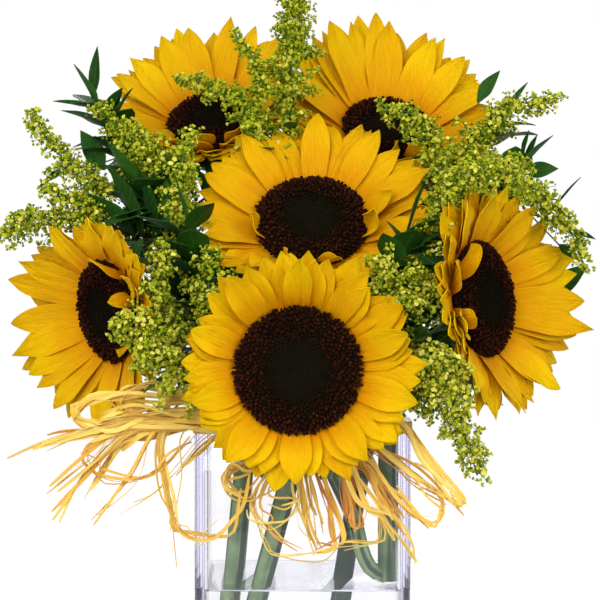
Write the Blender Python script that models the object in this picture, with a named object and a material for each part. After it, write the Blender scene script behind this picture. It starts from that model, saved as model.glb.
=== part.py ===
"""Six sunflowers with goldenrod and dark foliage in a square glass vase, tied with raffia.

Units are metres and +Z is up. The origin is the middle of the vase's underside, and the front of
the arrangement faces -Y. Routes of stems, plumes and raffia are written in millimetres, through mm().
"""

import math
import random
from functools import partial

import bmesh
import bpy
from mathutils import Matrix, Quaternion, Vector
from mathutils.bvhtree import BVHTree


def mm(*xyz):
    return Vector(xyz) * 0.001


# ---------------------------------------------------------------- driving dimensions
GAP = 0.0003  # left between pieces that touch

VASE_SIDE = 0.127
VASE_HEIGHT = 0.203
VASE_WALL = 0.006
VASE_BASE = 0.012
VASE_CORNER = 0.006
CORNER_STEPS = 3
WATER_LEVEL = 0.102

SUNFLOWER_STEM = 0.006  # radii
THIN_STEM = 0.0016
STEM_HOLE_GAP = 0.0005
TUCK_END = 0.0370  # thin stems lean on the rim, and end this far from the axis inside the neck
TUCK_HEIGHT = 0.164

PETAL_THICK = 0.0009
PETAL_HALF = (0.0090, 0.0104)  # half the width, least and most
PETAL_LAYERS = ((11, -0.0038, -4.0, 0.0), (10, -0.0022, 8.0, 0.5))  # count, height, tilt, offset in steps
SHORTER = (1.0, 0.92, 0.84, 0.76, 0.68, 0.6)  # lengths tried for a petal that would touch another piece
RING_WIDTH = 0.0050
RING_THICK = 0.0048
HEAD_SIDES = 16
DISC_DOME = 0.0055
BRACT_COUNT = 8

GOLDEN_ANGLE = 137.5
BRANCH_RADIUS = 0.0037
BRANCH_STEP = 0.016  # between two side branches of a plume
FLORET_RISE = 1.6  # a raised floret's distance from its branch's axis, over the branch's radius
CLEARANCE = 0.0006  # kept from other pieces when a leaf or a branch is turned aside
TURNS = (0, 18, -18, 36, -36, 54, -54, 75, -75, 100, -100, 130, -130)  # degrees tried round the stem

BAND_TOP = 0.2015
BAND_HEIGHT = 0.008
BAND_THICK = 0.0012
STRAND = 0.0014  # radius of a raffia strand


# ---------------------------------------------------------------- the flowers
# Each head: centre of the disc's rim, the way it faces, disc radius, petal length, cupping in degrees,
# then what is added to petal reach and cupping to its right, top, left and bottom. Its stem stands on
# the foot, crosses the rim's height, and rises through some points; its leaves are given as the share
# of the way up the stem, the bearing and the length.
HEADS = {
    "front": dict(
        centre=mm(-2.6, -102, 232), faces=(0.0, -1.0, 0.03), disc=0.0350, petal=0.038, cup=38,
        reach=(1.0, 0.95, 0.95, 1.0), curl=(0, 0, 0, 0), foot=mm(-48, -28, 12), rim=mm(3, -42, 203),
        rise=(mm(0, -43, 221), mm(-2, -54, 233)), leaves=(),
    ),
    "middle": dict(
        centre=mm(5.7, -25, 319), faces=(0.0, -0.788, 0.616), disc=0.0332, petal=0.043, cup=24,
        reach=(0.95, 1.0, 0.88, 0.62), curl=(4, 0, 4, 14), foot=mm(-47, 20, 12), rim=mm(4, 5, 203),
        rise=(mm(7, 11, 250), mm(6, 12, 288)), leaves=((0.55, 160, 0.07),),
    ),
    "upper_left": dict(
        centre=mm(-58, 50, 385), faces=(-0.17, -0.68, 0.71), disc=0.0262, petal=0.047, cup=22,
        reach=(0.62, 1.08, 0.84, 0.5), curl=(8, 4, 4, 26), foot=mm(-50, 44, 12), rim=mm(-32, 24, 203),
        rise=(mm(-40, 48, 290), mm(-50, 76, 350)), leaves=((0.55, 190, 0.075),),
    ),
    "upper_right": dict(
        centre=mm(54, 50, 379), faces=(0.13, -0.72, 0.68), disc=0.0275, petal=0.055, cup=22,
        reach=(0.74, 1.0, 0.78, 0.45), curl=(0, 6, 0, 26), foot=mm(9, -20, 12), rim=mm(43, 18, 203),
        rise=(mm(42, 54, 290), mm(47, 78, 345)), leaves=((0.55, -10, 0.075),),
    ),
    "left": dict(
        centre=mm(-116, -38, 265.5), faces=(-0.80, -0.57, -0.16), disc=0.0293, petal=0.047, cup=22,
        reach=(0.80, 0.70, 1.12, 0.72), curl=(10, 0, 10, 4), foot=mm(-50.5, 2, 12), rim=mm(-32, -26, 203),
        rise=(mm(-46, -14, 243), mm(-76, -12, 268)), leaves=(),
    ),
    "right": dict(
        centre=mm(107.5, -38, 272.6), faces=(0.83, -0.545, 0.106), disc=0.0331, petal=0.050, cup=22,
        reach=(1.06, 0.66, 0.72, 0.74), curl=(10, 4, 14, 4), foot=mm(51.2, -24, 102), rim=mm(51.2, -24, 203),
        rise=(mm(52, -19, 235), mm(70, -14, 265)), leaves=(),
        shoot=(mm(50, -24, 106), mm(36, -25, 124), mm(16, -26, 162), mm(8, -27, 186)),
    ),
}

# Each goldenrod stem: its bearing at the rim, the points that it rises through, and its plumes, each
# from its lowest branch to its tip.
GOLDENROD = {
    "outer_left": dict(
        bearing=168, rise=(mm(-66, 16, 260), mm(-88, 12, 305)),
        plumes=((mm(-112, -4, 336), mm(-131, -16, 346), mm(-152, -20, 366), mm(-163, -20, 385)),),
    ),
    "big_left": dict(
        bearing=162, rise=(mm(-58, 24, 270), mm(-70, 10, 310)),
        plumes=((mm(-82, -10, 335), mm(-92, -15, 352), mm(-106, -16, 369), mm(-124, -15, 390)),),
    ),
    "far_left": dict(
        bearing=175, rise=(mm(-72, 8, 255), mm(-98, 6, 300)),
        plumes=(
            (mm(-118, -8, 320), mm(-134, -18, 331), mm(-157, -24, 340)),
            (mm(-118, -8, 320), mm(-148, -8, 321), mm(-168, -14, 321), mm(-179, -20, 310)),
        ),
    ),
    "inner_left": dict(
        bearing=189, rise=(mm(-60, -32, 240), mm(-66, -36, 285)),
        plumes=((mm(-71, -34, 312), mm(-74, -32, 344), mm(-66, -28, 374)),),
    ),
    "tuft_left": dict(
        bearing=231, rise=(mm(-44, -56, 212), mm(-60, -70, 222)),
        plumes=((mm(-70, -81, 232), mm(-82, -95, 241), mm(-94, -106, 244)),),
    ),
    "low_left": dict(
        bearing=238, rise=(mm(-46, -56, 222), mm(-70, -64, 240)),
        plumes=((mm(-82, -70, 254), mm(-84, -74, 278), mm(-80, -76, 303)),),
    ),
    "near_left": dict(
        bearing=245, rise=(mm(-34, -52, 222), mm(-50, -56, 240)),
        plumes=((mm(-57, -58, 256), mm(-55, -61, 280), mm(-56, -63, 302)),),
    ),
    "top": dict(
        bearing=86, rise=(mm(-3, 44, 290), mm(-9, 30, 350)),
        plumes=((mm(-11, 15, 388), mm(-7, 13, 425), mm(-7, 14, 465)),),
    ),
    "top_left": dict(
        bearing=98, rise=(mm(-18, 46, 280), mm(-24, 26, 335)),
        plumes=(
            (mm(-26, 10, 372), mm(-29, 4, 392), mm(-27, 6, 414), mm(-43, 8, 438)),
            (mm(-26, 10, 372), mm(-40, 2, 395), mm(-58, 6, 404), mm(-78, 10, 407)),
        ),
    ),
    "over_right": dict(
        bearing=-16, rise=(mm(62, 0, 260), mm(74, 4, 320)),
        plumes=(
            (mm(80, 2, 345), mm(80, 0, 368), mm(66, 2, 386), mm(48, 4, 388)),
            (mm(80, 2, 345), mm(98, -10, 350), mm(118, -13, 354), mm(138, -14, 352)),
        ),
    ),
    "upper_right": dict(
        bearing=-4, rise=(mm(68, 14, 260), mm(86, 22, 320)),
        plumes=((mm(96, 26, 350), mm(108, 22, 374), mm(130, 12, 391), mm(156, 6, 396)),),
    ),
    "inner_right": dict(
        bearing=-48, rise=(mm(52, -44, 240), mm(64, -46, 280)),
        plumes=((mm(77, -53, 314), mm(88, -64, 341), mm(112, -68, 348), mm(139, -64, 335)),),
    ),
    "far_right": dict(
        bearing=-10, rise=(mm(74, 8, 250), mm(98, 14, 300)),
        plumes=((mm(118, 6, 328), mm(138, -4, 338), mm(158, -10, 322), mm(172, -10, 291)),),
    ),
    "near_right": dict(
        bearing=-64, rise=(mm(38, -56, 222), mm(47, -62, 240)),
        plumes=(
            (mm(50, -66, 256), mm(50, -71, 276), mm(44, -74, 297)),
            (mm(50, -66, 256), mm(62, -73, 270), mm(76, -76, 283)),
        ),
    ),
    "low_right": dict(
        bearing=-56, rise=(mm(50, -60, 226), mm(62, -74, 246)),
        plumes=((mm(73, -84, 250), mm(80, -92, 231), mm(90, -90, 203), mm(101, -80, 171)),),
    ),
    "back_left": dict(
        bearing=124, rise=(mm(-58, 60, 260), mm(-74, 84, 300)),
        plumes=((mm(-80, 92, 325), mm(-88, 98, 352), mm(-96, 100, 385)),),
    ),
    "back_right": dict(
        bearing=52, rise=(mm(58, 58, 260), mm(72, 84, 300)),
        plumes=((mm(78, 92, 325), mm(88, 98, 352), mm(98, 98, 382)),),
    ),
}

# Each leafy stem: its bearing at the rim, the points that it rises through, how many leaves it carries,
# their length, and how far up the stem they start.
LEAFY = {
    "upper_left": dict(
        bearing=156, rise=(mm(-66, 30, 270), mm(-102, 22, 340), mm(-127, 14, 392)),
        leaves=6, length=0.048, start=0.45,
    ),
    "left": dict(
        bearing=182, rise=(mm(-58, 2, 245), mm(-78, -2, 300), mm(-98, -20, 338)),
        leaves=5, length=0.062, start=0.35,
    ),
    "near_left": dict(
        bearing=196, rise=(mm(-50, -34, 225), mm(-56, -48, 262), mm(-68, -50, 316)),
        leaves=5, length=0.056, start=0.40,
    ),
    "upper_right": dict(
        bearing=46, rise=(mm(66, 44, 270), mm(100, 50, 335), mm(126, 40, 384)),
        leaves=5, length=0.048, start=0.45,
    ),
    "right": dict(
        bearing=2, rise=(mm(60, 20, 245), mm(98, 32, 306), mm(135, 22, 353)),
        leaves=6, length=0.048, start=0.45,
    ),
    "low_right": dict(
        bearing=-39, rise=(mm(62, -38, 236), mm(96, -8, 244), mm(140, 6, 268)),
        leaves=5, length=0.048, start=0.50,
    ),
    "near_right": dict(
        bearing=-72, rise=(mm(28, -52, 225), mm(46, -56, 262), mm(62, -58, 312)),
        leaves=5, length=0.056, start=0.40,
    ),
    "back_left": dict(
        bearing=112, rise=(mm(-26, 72, 270), mm(-32, 92, 320), mm(-36, 104, 366)),
        leaves=6, length=0.054, start=0.30,
    ),
    "back_right": dict(
        bearing=64, rise=(mm(34, 72, 270), mm(40, 92, 320), mm(44, 104, 362)),
        leaves=6, length=0.054, start=0.30,
    ),
}

# The bow's knot, and the strands that leave it: each route runs out from the knot, and a loop comes back.
KNOT = mm(-4, -70.8, 199)
KNOT_SIZE = mm(9, 5.5, 8)
STRANDS = (
    # to the left, behind the front flower's petals and out past the left flower
    (mm(-60, -84, 207), mm(-110, -100, 199), mm(-170, -104, 179)),
    (mm(-62, -80, 217), mm(-112, -98, 215), mm(-132, -108, 206), mm(-120, -112, 196), mm(-80, -98, 199),
     mm(-40, -82, 201)),
    (mm(-60, -80, 203), mm(-100, -98, 196), mm(-146, -102, 162)),
    (mm(-58, -78, 199), mm(-96, -96, 192), mm(-142, -98, 147)),
    (mm(-52, -77, 195), mm(-80, -88, 186), mm(-118, -92, 145)),
    (mm(-54, -77, 205), mm(-90, -92, 204), mm(-122, -102, 180), mm(-90, -98, 171), mm(-54, -82, 194)),
    (mm(-56, -78, 210), mm(-82, -90, 196), mm(-77, -92, 158), mm(-60, -92, 134), mm(-38, -90, 148),
     mm(-26, -78, 182)),
    (mm(-54, -77, 202), mm(-78, -90, 186), mm(-72, -92, 120)),
    (mm(-50, -77, 222), mm(-84, -88, 229), mm(-104, -98, 222), mm(-60, -84, 213)),
    # down and to the right, in front of the glass
    (mm(30, -82, 200), mm(66, -96, 190), mm(94, -100, 152), mm(60, -92, 176), mm(26, -78, 196)),
    (mm(26, -76, 192), mm(60, -82, 172), mm(82, -86, 148), mm(54, -84, 157), mm(28, -76, 184)),
    (mm(22, -74, 184), mm(46, -76, 162), mm(70, -80, 122)),
    (mm(19, -74, 182), mm(40, -75, 156), mm(62, -77, 118)),
    (mm(20, -74, 178), mm(24, -75, 142), mm(32, -76, 137), mm(18, -74, 186)),
    (mm(-1, -74, 184), mm(6, -76, 130), mm(12, -76, 132), mm(5, -74, 184)),
    (mm(-16, -75, 186), mm(-32, -76, 166), mm(-20, -77, 136), mm(8, -78, 125), mm(36, -78, 133),
     mm(42, -78, 152), mm(22, -75, 184)),
)


# ---------------------------------------------------------------- scene and materials
def clear_scene():
    for obj in list(bpy.data.objects):
        bpy.data.objects.remove(obj)


def new_collection(name):
    made = bpy.data.collections.new(name)
    bpy.context.scene.collection.children.link(made)
    return made


def material(name, colour, roughness, transmission=0.0):
    made = bpy.data.materials.new(name)
    made.use_nodes = True
    shader = made.node_tree.nodes["Principled BSDF"]
    shader.inputs["Base Color"].default_value = (*colour, 1.0)
    shader.inputs["Roughness"].default_value = roughness
    shader.inputs["Metallic"].default_value = 0.0
    shader.inputs["Transmission Weight"].default_value = transmission
    made.diffuse_color = (*colour, 1.0)
    return made


clear_scene()
PARTS = new_collection("sunflowers_in_a_vase")
CUTTERS = new_collection("cutters")
REPEATS = new_collection("repeats")

GLASS = material("clear_glass", (0.93, 0.93, 0.98), 0.02, transmission=1.0)
WATER = material("water", (0.97, 0.98, 1.0), 0.0, transmission=1.0)
PETAL = material("sunflower_petal", (0.93, 0.60, 0.01), 0.5)
SEEDS = material("sunflower_disc", (0.018, 0.009, 0.008), 0.8)
STEM = material("sunflower_stem", (0.10, 0.21, 0.06), 0.55)
PLUME = material("goldenrod", (0.42, 0.48, 0.06), 0.7)
LEAF = material("dark_leaf", (0.02, 0.075, 0.02), 0.4)
RAFFIA = material("raffia", (0.72, 0.47, 0.16), 0.65)


def solid(name, mesh, finish, collection=PARTS):
    """The mesh as an object of its own, with one material."""
    obj = bpy.data.objects.new(name, mesh)
    mesh.materials.clear()
    mesh.materials.append(finish)
    collection.objects.link(obj)
    return obj


def finish_mesh(bm, name):
    """Welds what coincides, turns the faces outwards, and makes a mesh of it."""
    bmesh.ops.remove_doubles(bm, verts=bm.verts, dist=1e-6)
    bmesh.ops.recalc_face_normals(bm, faces=bm.faces)
    mesh = bpy.data.meshes.new(name)
    bm.to_mesh(mesh)
    bm.free()
    return mesh


def apply_modifiers(obj):
    bpy.context.view_layer.update()
    made = bpy.data.meshes.new_from_object(obj.evaluated_get(bpy.context.evaluated_depsgraph_get()))
    obj.modifiers.clear()
    obj.data = made


def drop_slivers(mesh):
    """Leaves out the specks of a few faces that a union can leave beside the solid."""
    bm = bmesh.new()
    bm.from_mesh(mesh)
    seen = set()
    for start in list(bm.verts):
        if start in seen:
            continue
        island, edge = {start}, [start]
        while edge:
            for link in edge.pop().link_edges:
                for vert in link.verts:
                    if vert not in island:
                        island.add(vert)
                        edge.append(vert)
        seen |= island
        if len(island) < 12:
            bmesh.ops.delete(bm, geom=list(island), context="VERTS")
    bm.to_mesh(mesh)
    bm.free()


def fuse(name, body, repeats, finish):
    """One solid of a body and what grows from it, joined by a Boolean union on a collection."""
    obj = solid(name, body, finish)
    for k, mesh in enumerate(repeats):
        solid(f"{name}_repeat_{k}", mesh, finish, REPEATS)
    union = obj.modifiers.new("union", "BOOLEAN")
    union.operation = "UNION"
    union.operand_type = "COLLECTION"
    union.collection = REPEATS
    union.solver = "MANIFOLD"
    apply_modifiers(obj)
    for repeat in list(REPEATS.objects):
        bpy.data.objects.remove(repeat)
    drop_slivers(obj.data)
    return obj


def cut(obj, cutters, name):
    """Takes the cutters away from an object, by a Boolean difference on their collection."""
    for k, mesh in enumerate(cutters):
        cutter = solid(f"{name}_{k}", mesh, GLASS, CUTTERS)
        cutter.hide_render = True
        cutter.display_type = "WIRE"
    difference = obj.modifiers.new("cut", "BOOLEAN")
    difference.operation = "DIFFERENCE"
    difference.operand_type = "COLLECTION"
    difference.collection = CUTTERS
    difference.solver = "EXACT"
    apply_modifiers(obj)
    for cutter in list(CUTTERS.objects):
        bpy.data.objects.remove(cutter)


# ---------------------------------------------------------------- shapes
def polar(radius, degrees, z):
    turn = math.radians(degrees)
    return Vector((radius * math.cos(turn), radius * math.sin(turn), z))


def spline(points, steps):
    """A Catmull-Rom curve through the points, with this many steps between two of them."""
    ends = [2 * points[0] - points[1], *points, 2 * points[-1] - points[-2]]
    line = []
    for a, b, c, d in zip(ends, ends[1:], ends[2:], ends[3:]):
        for k in range(steps):
            t = k / steps
            line.append(
                0.5 * (2 * b + (c - a) * t + (2 * a - 5 * b + 4 * c - d) * t * t
                       + (3 * b - a - 3 * c + d) * t ** 3)
            )
    return [*line, points[-1].copy()]


def tube(path, radius, resolution, name="tube"):
    """A closed tube along a path, made as a bevelled curve and turned into a mesh."""
    curve = bpy.data.curves.new(name, "CURVE")
    curve.dimensions = "3D"
    curve.bevel_depth = radius
    curve.bevel_resolution = resolution
    curve.use_fill_caps = True
    line = curve.splines.new("POLY")
    line.points.add(len(path) - 1)
    for point, place in zip(line.points, path):
        point.co = (*place, 1.0)
    holder = bpy.data.objects.new(name, curve)
    PARTS.objects.link(holder)
    bpy.context.view_layer.update()
    mesh = bpy.data.meshes.new_from_object(holder.evaluated_get(bpy.context.evaluated_depsgraph_get()))
    bpy.data.objects.remove(holder)
    bm = bmesh.new()
    bm.from_mesh(mesh)
    return finish_mesh(bm, name)


def skin(path, radii, sides, raised=0.0, name="skin"):
    """A closed tube along a path, with a radius for each point, or one for all of them.

    Its first edge faces away from the vase's axis. With raised, every other point of its surface
    stands out to that many times the radius."""
    rows = len(path) - 1
    if not isinstance(radii, list):
        radii = [radii] * (rows + 1)
    ahead = [(path[min(k + 1, rows)] - path[max(k - 1, 0)]).normalized() for k in range(rows + 1)]
    away = Vector((path[0].x, path[0].y, 0.0))
    away -= ahead[0] * away.dot(ahead[0])
    across = [away.normalized() if away.length > 1e-4 else ahead[0].orthogonal().normalized()]
    for before, after in zip(ahead, ahead[1:]):
        turned_on = across[-1].copy()
        turned_on.rotate(before.rotation_difference(after))
        across.append(turned_on)
    bm = bmesh.new()
    bmesh.ops.create_grid(bm, x_segments=sides, y_segments=rows, size=1.0)
    for vert in bm.verts:
        k = round((vert.co.y + 1) / 2 * rows)
        j = round((vert.co.x + 1) / 2 * sides) % sides
        spoke = across[k].copy()
        spoke.rotate(Quaternion(ahead[k], math.tau * j / sides))
        vert.co = path[k] + spoke * radii[k] * (raised if raised and (j + k) % 2 else 1.0)
    bmesh.ops.remove_doubles(bm, verts=bm.verts, dist=1e-6)
    bmesh.ops.holes_fill(bm, edges=[e for e in bm.edges if e.is_boundary], sides=0)
    bmesh.ops.triangulate(bm, faces=bm.faces)
    return finish_mesh(bm, name)


def turned(profile, steps, place, name):
    """A closed profile of (distance from the axis, height) pairs, spun round the local Z axis."""
    bm = bmesh.new()
    corners = [bm.verts.new((r, 0.0, z)) for r, z in profile]
    edges = [bm.edges.new(pair) for pair in zip(corners, corners[1:])]
    bmesh.ops.spin(bm, geom=corners + edges, cent=(0, 0, 0), axis=(0, 0, 1), angle=math.tau,
                   steps=steps, use_merge=True)
    bmesh.ops.transform(bm, matrix=place, verts=bm.verts)
    return finish_mesh(bm, name)


def blade(spine, side, half_width, fold, rows, extra, name="blade"):
    """A thin closed blade: two grids with a rib between them, welded along the outline.

    spine(s) is a point and side(s) the direction across, for s from 0 at the root to 1 at the tip.
    fold lifts the edges off the rib, over the half width. extra thickens the blade all round."""
    step = 0.02
    bm = bmesh.new()
    bmesh.ops.create_grid(bm, x_segments=2, y_segments=len(rows) - 1, size=1.0)
    bmesh.ops.triangulate(bm, faces=bm.faces)
    copied = bmesh.ops.duplicate(bm, geom=bm.verts[:] + bm.edges[:] + bm.faces[:])["geom"]
    lower = {v for v in copied if isinstance(v, bmesh.types.BMVert)}
    bmesh.ops.reverse_faces(bm, faces=[f for f in copied if isinstance(f, bmesh.types.BMFace)])
    for vert in bm.verts:
        s = rows[round((vert.co.y + 1) / 2 * (len(rows) - 1))]
        t = vert.co.x
        across = side(s)
        along = (spine(min(s + step, 1.0)) - spine(max(s - step, 0.0))).normalized()
        normal = across.cross(along).normalized()
        reach = half_width(s) + (extra if s < 1 else 0.0)
        rib = PETAL_THICK / 2 + extra if abs(t) < 0.5 and s < 1 else 0.0
        if vert in lower:
            rib = -rib
        vert.co = spine(s) + across * reach * t + normal * (fold * reach * abs(t) + rib)
    bmesh.ops.remove_doubles(bm, verts=bm.verts, dist=1e-6)
    bmesh.ops.holes_fill(bm, edges=[e for e in bm.edges if e.is_boundary], sides=4)
    return finish_mesh(bm, name)


def outline(root, widest, tip_power, half):
    """The half width of a pointed oval leaf or petal: root is its width at the foot over the widest."""

    def width(s):
        if s <= widest:
            return half * (root + (1 - root) * math.sin(math.pi / 2 * s / widest))
        return half * max(math.cos(math.pi / 2 * (s - widest) / (1 - widest)), 0.0) ** tip_power

    return width


# ---------------------------------------------------------------- keeping pieces clear of each other
BUILT = {}


def surface_tree(mesh):
    bm = bmesh.new()
    bm.from_mesh(mesh)
    bmesh.ops.triangulate(bm, faces=bm.faces)
    tree = BVHTree.FromBMesh(bm)
    bm.free()
    return tree


def keep(obj):
    """Remembers a finished piece's surface, so that later ones stay clear of it."""
    BUILT[obj.name] = surface_tree(obj.data)


def first_clear(shapes):
    """The first of the shapes that touches no finished piece, in a list, or an empty list.

    Each shape is a function of how much it is thickened all round, which the test uses."""
    for shape in shapes:
        tree = surface_tree(shape(CLEARANCE))
        if not any(tree.overlap(other) for other in BUILT.values()):
            return [shape(0.0)]
    return []


# ---------------------------------------------------------------- vase and water
def rounded_box(side, low, high, corner, name):
    bm = bmesh.new()
    bmesh.ops.create_cube(bm, size=1.0)
    bmesh.ops.scale(bm, vec=(side, side, high - low), verts=bm.verts)
    bmesh.ops.translate(bm, vec=(0, 0, (high + low) / 2), verts=bm.verts)
    upright = [e for e in bm.edges if abs(e.verts[0].co.z - e.verts[1].co.z) > 1e-6]
    bmesh.ops.bevel(bm, geom=upright, offset=corner, segments=CORNER_STEPS, profile=0.5, affect="EDGES")
    return finish_mesh(bm, name)


def make_vase():
    vase = solid("vase", rounded_box(VASE_SIDE, 0.0, VASE_HEIGHT, VASE_CORNER, "vase"), GLASS)
    inside = VASE_SIDE - 2 * VASE_WALL
    cut(vase, [rounded_box(inside, VASE_BASE, VASE_HEIGHT + 0.01, VASE_CORNER / 2, "cavity")], "cavity")
    keep(vase)


def stand(head):
    """The low end of a flower's stem, lifted so that its cut end clears what it stands over."""
    lean = (head["rim"] - head["foot"]).normalized()
    return head["foot"] + Vector((0, 0, GAP + SUNFLOWER_STEM * lean.xy.length))


def make_water():
    """Water up to its level, with a plain hole for each stem that stands in it."""
    inside = VASE_SIDE - 2 * VASE_WALL - 2 * GAP
    body = rounded_box(inside, VASE_BASE + GAP, WATER_LEVEL, VASE_CORNER / 2, "water")
    water = solid("water", body, WATER)
    holes = []
    for head in HEADS.values():
        foot = stand(head)
        if foot.z < WATER_LEVEL:
            along = (head["rim"] - foot).normalized()
            holes.append(tube([foot - along * 0.012, foot + along * (WATER_LEVEL + 0.02)],
                              SUNFLOWER_STEM + STEM_HOLE_GAP, 2))
    cut(water, holes, "hole")


# ---------------------------------------------------------------- sunflowers
def head_place(head):
    """The head's own axes and centre as a matrix: the viewer's right, up, and the way it faces."""
    faces = Vector(head["faces"]).normalized()
    up = (Vector((0, 0, 1)) - faces * faces.z).normalized()
    return Matrix.Translation(head["centre"]) @ Matrix((up.cross(faces), up, faces)).transposed().to_4x4()


def by_bearing(values, angle):
    """A value between those for right, top, left and bottom, at an angle from the right."""
    right, top, left, bottom = values
    across, upright = math.cos(angle), math.sin(angle)
    return (right if across > 0 else left) * across ** 2 + (top if upright > 0 else bottom) * upright ** 2


def ray(place, angle, start, height, lift, bend, sway, twist, length, width, fold, rows, extra=0.0):
    """A petal or bract that leaves the head's rim at an angle, rises by lift and bends on the way out."""
    count = 12

    def ahead(s):
        rise, turn = lift + bend * s, angle + sway * s
        return Vector((math.cos(rise) * math.cos(turn), math.cos(rise) * math.sin(turn), math.sin(rise)))

    points = [Vector((start * math.cos(angle), start * math.sin(angle), height))]
    for k in range(count):
        points.append(points[-1] + ahead((k + 0.5) / count) * (length / count))

    def spine(s):
        k = min(int(s * count), count - 1)
        return place @ points[k].lerp(points[k + 1], s * count - k)

    def side(s):
        turn = angle + sway * s
        flat = Vector((math.sin(turn), -math.cos(turn), 0.0))
        flat.rotate(Quaternion(ahead(s), twist * s))
        return place.to_3x3() @ flat

    return blade(spine, side, width, fold, rows, extra)


def make_sunflower(name, head):
    place = head_place(head)
    facing = place.to_3x3() @ Vector((0, 0, 1))
    draw = random.Random(name)
    radius = head["disc"]

    # the seed disc, with its florets raised from a dome
    profile = [(r * (radius - GAP), h * DISC_DOME) for r, h in ((0, 0.6), (0.35, 0.75), (0.72, 0.95), (1, 0))]
    profile += [(radius - GAP, -RING_THICK), (0.0, -RING_THICK)]
    disc = solid(f"disc_{name}", turned(profile, HEAD_SIDES, place, "disc"), SEEDS)
    raise_florets(disc.data, place, radius)
    keep(disc)

    # the green receptacle, its bracts and the stem
    back = -RING_THICK - GAP
    edge = radius + RING_WIDTH
    cup = [(0.0, back), (edge + 0.001, back), (edge - 0.001, back - 0.005), (radius * 0.6, back - 0.013),
           (SUNFLOWER_STEM * 1.3, back - 0.019), (0.0, back - 0.019)]
    bracts = []
    for k in range(BRACT_COUNT):
        angle = math.tau * (k + 0.25 + draw.uniform(-0.12, 0.12)) / BRACT_COUNT
        bracts += first_clear([partial(
            ray, place, angle, radius - 0.004, back - 0.0035, math.radians(-14),
            math.radians(draw.uniform(-30, -5)), 0.0, 0.0, draw.uniform(0.021, 0.027),
            outline(0.75, 0.25, 0.8, 0.0068), 0.25, (0, 0.45, 1))])
    neck = head["centre"] + facing * (back - 0.036)
    seat = head["centre"] + facing * (back - 0.016)
    path = [stand(head), *spline([head["rim"], *head["rise"], neck, seat], 2)]
    stem = [tube(path, SUNFLOWER_STEM, 1)]
    if "shoot" in head:
        stem.append(tube(head["shoot"], SUNFLOWER_STEM * 0.75, 1))
    for share, bearing, length in head["leaves"]:
        stem += hang_leaf(path[max(1, round(share * (len(path) - 1)))], bearing, length)
    keep(fuse(f"stem_{name}", turned(cup, 10, place, "receptacle"), stem + bracts, STEM))

    # the ring of ray petals, in two layers
    inner, outer = radius + GAP, radius + RING_WIDTH
    ring = [(inner, 0.0), (outer, -RING_THICK), (inner, -RING_THICK), (inner, 0.0)]
    petals = []
    for count, height, tilt, offset in PETAL_LAYERS:
        for k in range(count):
            angle = math.tau * (k + offset + draw.uniform(-0.10, 0.10)) / count
            lift = head["cup"] + tilt + by_bearing(head["curl"], angle) + draw.uniform(-4, 4)
            length = head["petal"] * by_bearing(head["reach"], angle) * draw.uniform(0.93, 1.06)
            width = outline(0.48, 0.52, 0.62, draw.uniform(*PETAL_HALF))
            turns = [math.radians(draw.uniform(-t, t)) for t in (7, 14)]
            bend = math.radians(draw.uniform(-26, -2))
            petals += first_clear([
                partial(ray, place, angle, radius + 0.0012, height, math.radians(lift), bend, *turns,
                        length * shorter + 0.002, width, 0.28, (0, 0.3, 0.75, 1))
                for shorter in SHORTER])
    keep(fuse(f"petals_{name}", turned(ring, HEAD_SIDES, place, "ring"), petals, PETAL))


def raise_florets(mesh, place, radius):
    """Lifts every other point of the disc's face, so that its surface is rough with florets."""
    flat = place.inverted()
    for vert in mesh.vertices:
        point = flat @ vert.co
        distance = point.xy.length
        if point.z > 0.0005 and distance > 0.002:
            step = round(math.atan2(point.y, point.x) / (math.tau / HEAD_SIDES)) + round(distance / radius * 3)
            point.z += 0.0011 if step % 2 else -0.0006
            vert.co = place @ point


def leaf(base, out, length, half, droop, rows, extra=0.0):
    """A pointed leaf that leaves the stem at base along out, and droops towards its tip."""
    down = Vector((0, 0, -1))
    across = out.cross(Vector((0, 0, 1)))
    across = across.normalized() if across.length > 1e-3 else Vector((1, 0, 0))

    def spine(s):
        return base + out * (length * s) + down * (droop * length * s * s)

    return blade(spine, lambda s: across, outline(0.1, 0.38, 0.75, half), 0.22, rows, extra)


def hang_leaf(base, bearing, length):
    """A broad sunflower leaf, turned aside until it is clear."""
    return first_clear([partial(leaf, base, polar(1.0, bearing + turn, 0.5).normalized(), length,
                                0.27 * length, 0.5, (0, 0.25, 0.6, 1)) for turn in TURNS])


# ---------------------------------------------------------------- goldenrod
def thin_path(bearing, rise):
    """A thin stem's path, from its tucked end in the vase's neck, over the rim's inner edge, and up."""
    end = polar(TUCK_END, bearing, TUCK_HEIGHT)
    lean = (rise[0] - end).normalized()
    toward = polar(1.0, bearing, 0.0)
    reach = VASE_SIDE / 2 - VASE_WALL - (GAP + THIN_STEM) / math.sqrt(lean.z)
    rim = toward * (reach / max(abs(toward.x), abs(toward.y))) + Vector((0, 0, VASE_HEIGHT))
    return [end, *spline([rim, *rise], 2)]


def florets(path, radius, extra=0.0):
    """A branch thick with florets: a tapered tube on which every other point stands out."""
    count = len(path) - 1
    radii = [radius * (1.0 - 0.5 * k / count) + extra for k in range(count + 1)]
    radii[0] = radius * 0.4
    return skin(path, radii, 3, FLORET_RISE)


def along_stem(path, first, count):
    """The base and direction of each side shoot, between the first one's share of the way and the tip."""
    for k in range(count):
        place = (first + (1 - first) * k / count) * (len(path) - 1)
        low = min(int(place), len(path) - 2)
        yield k, path[low].lerp(path[low + 1], place - low), (path[low + 1] - path[low]).normalized()


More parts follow.
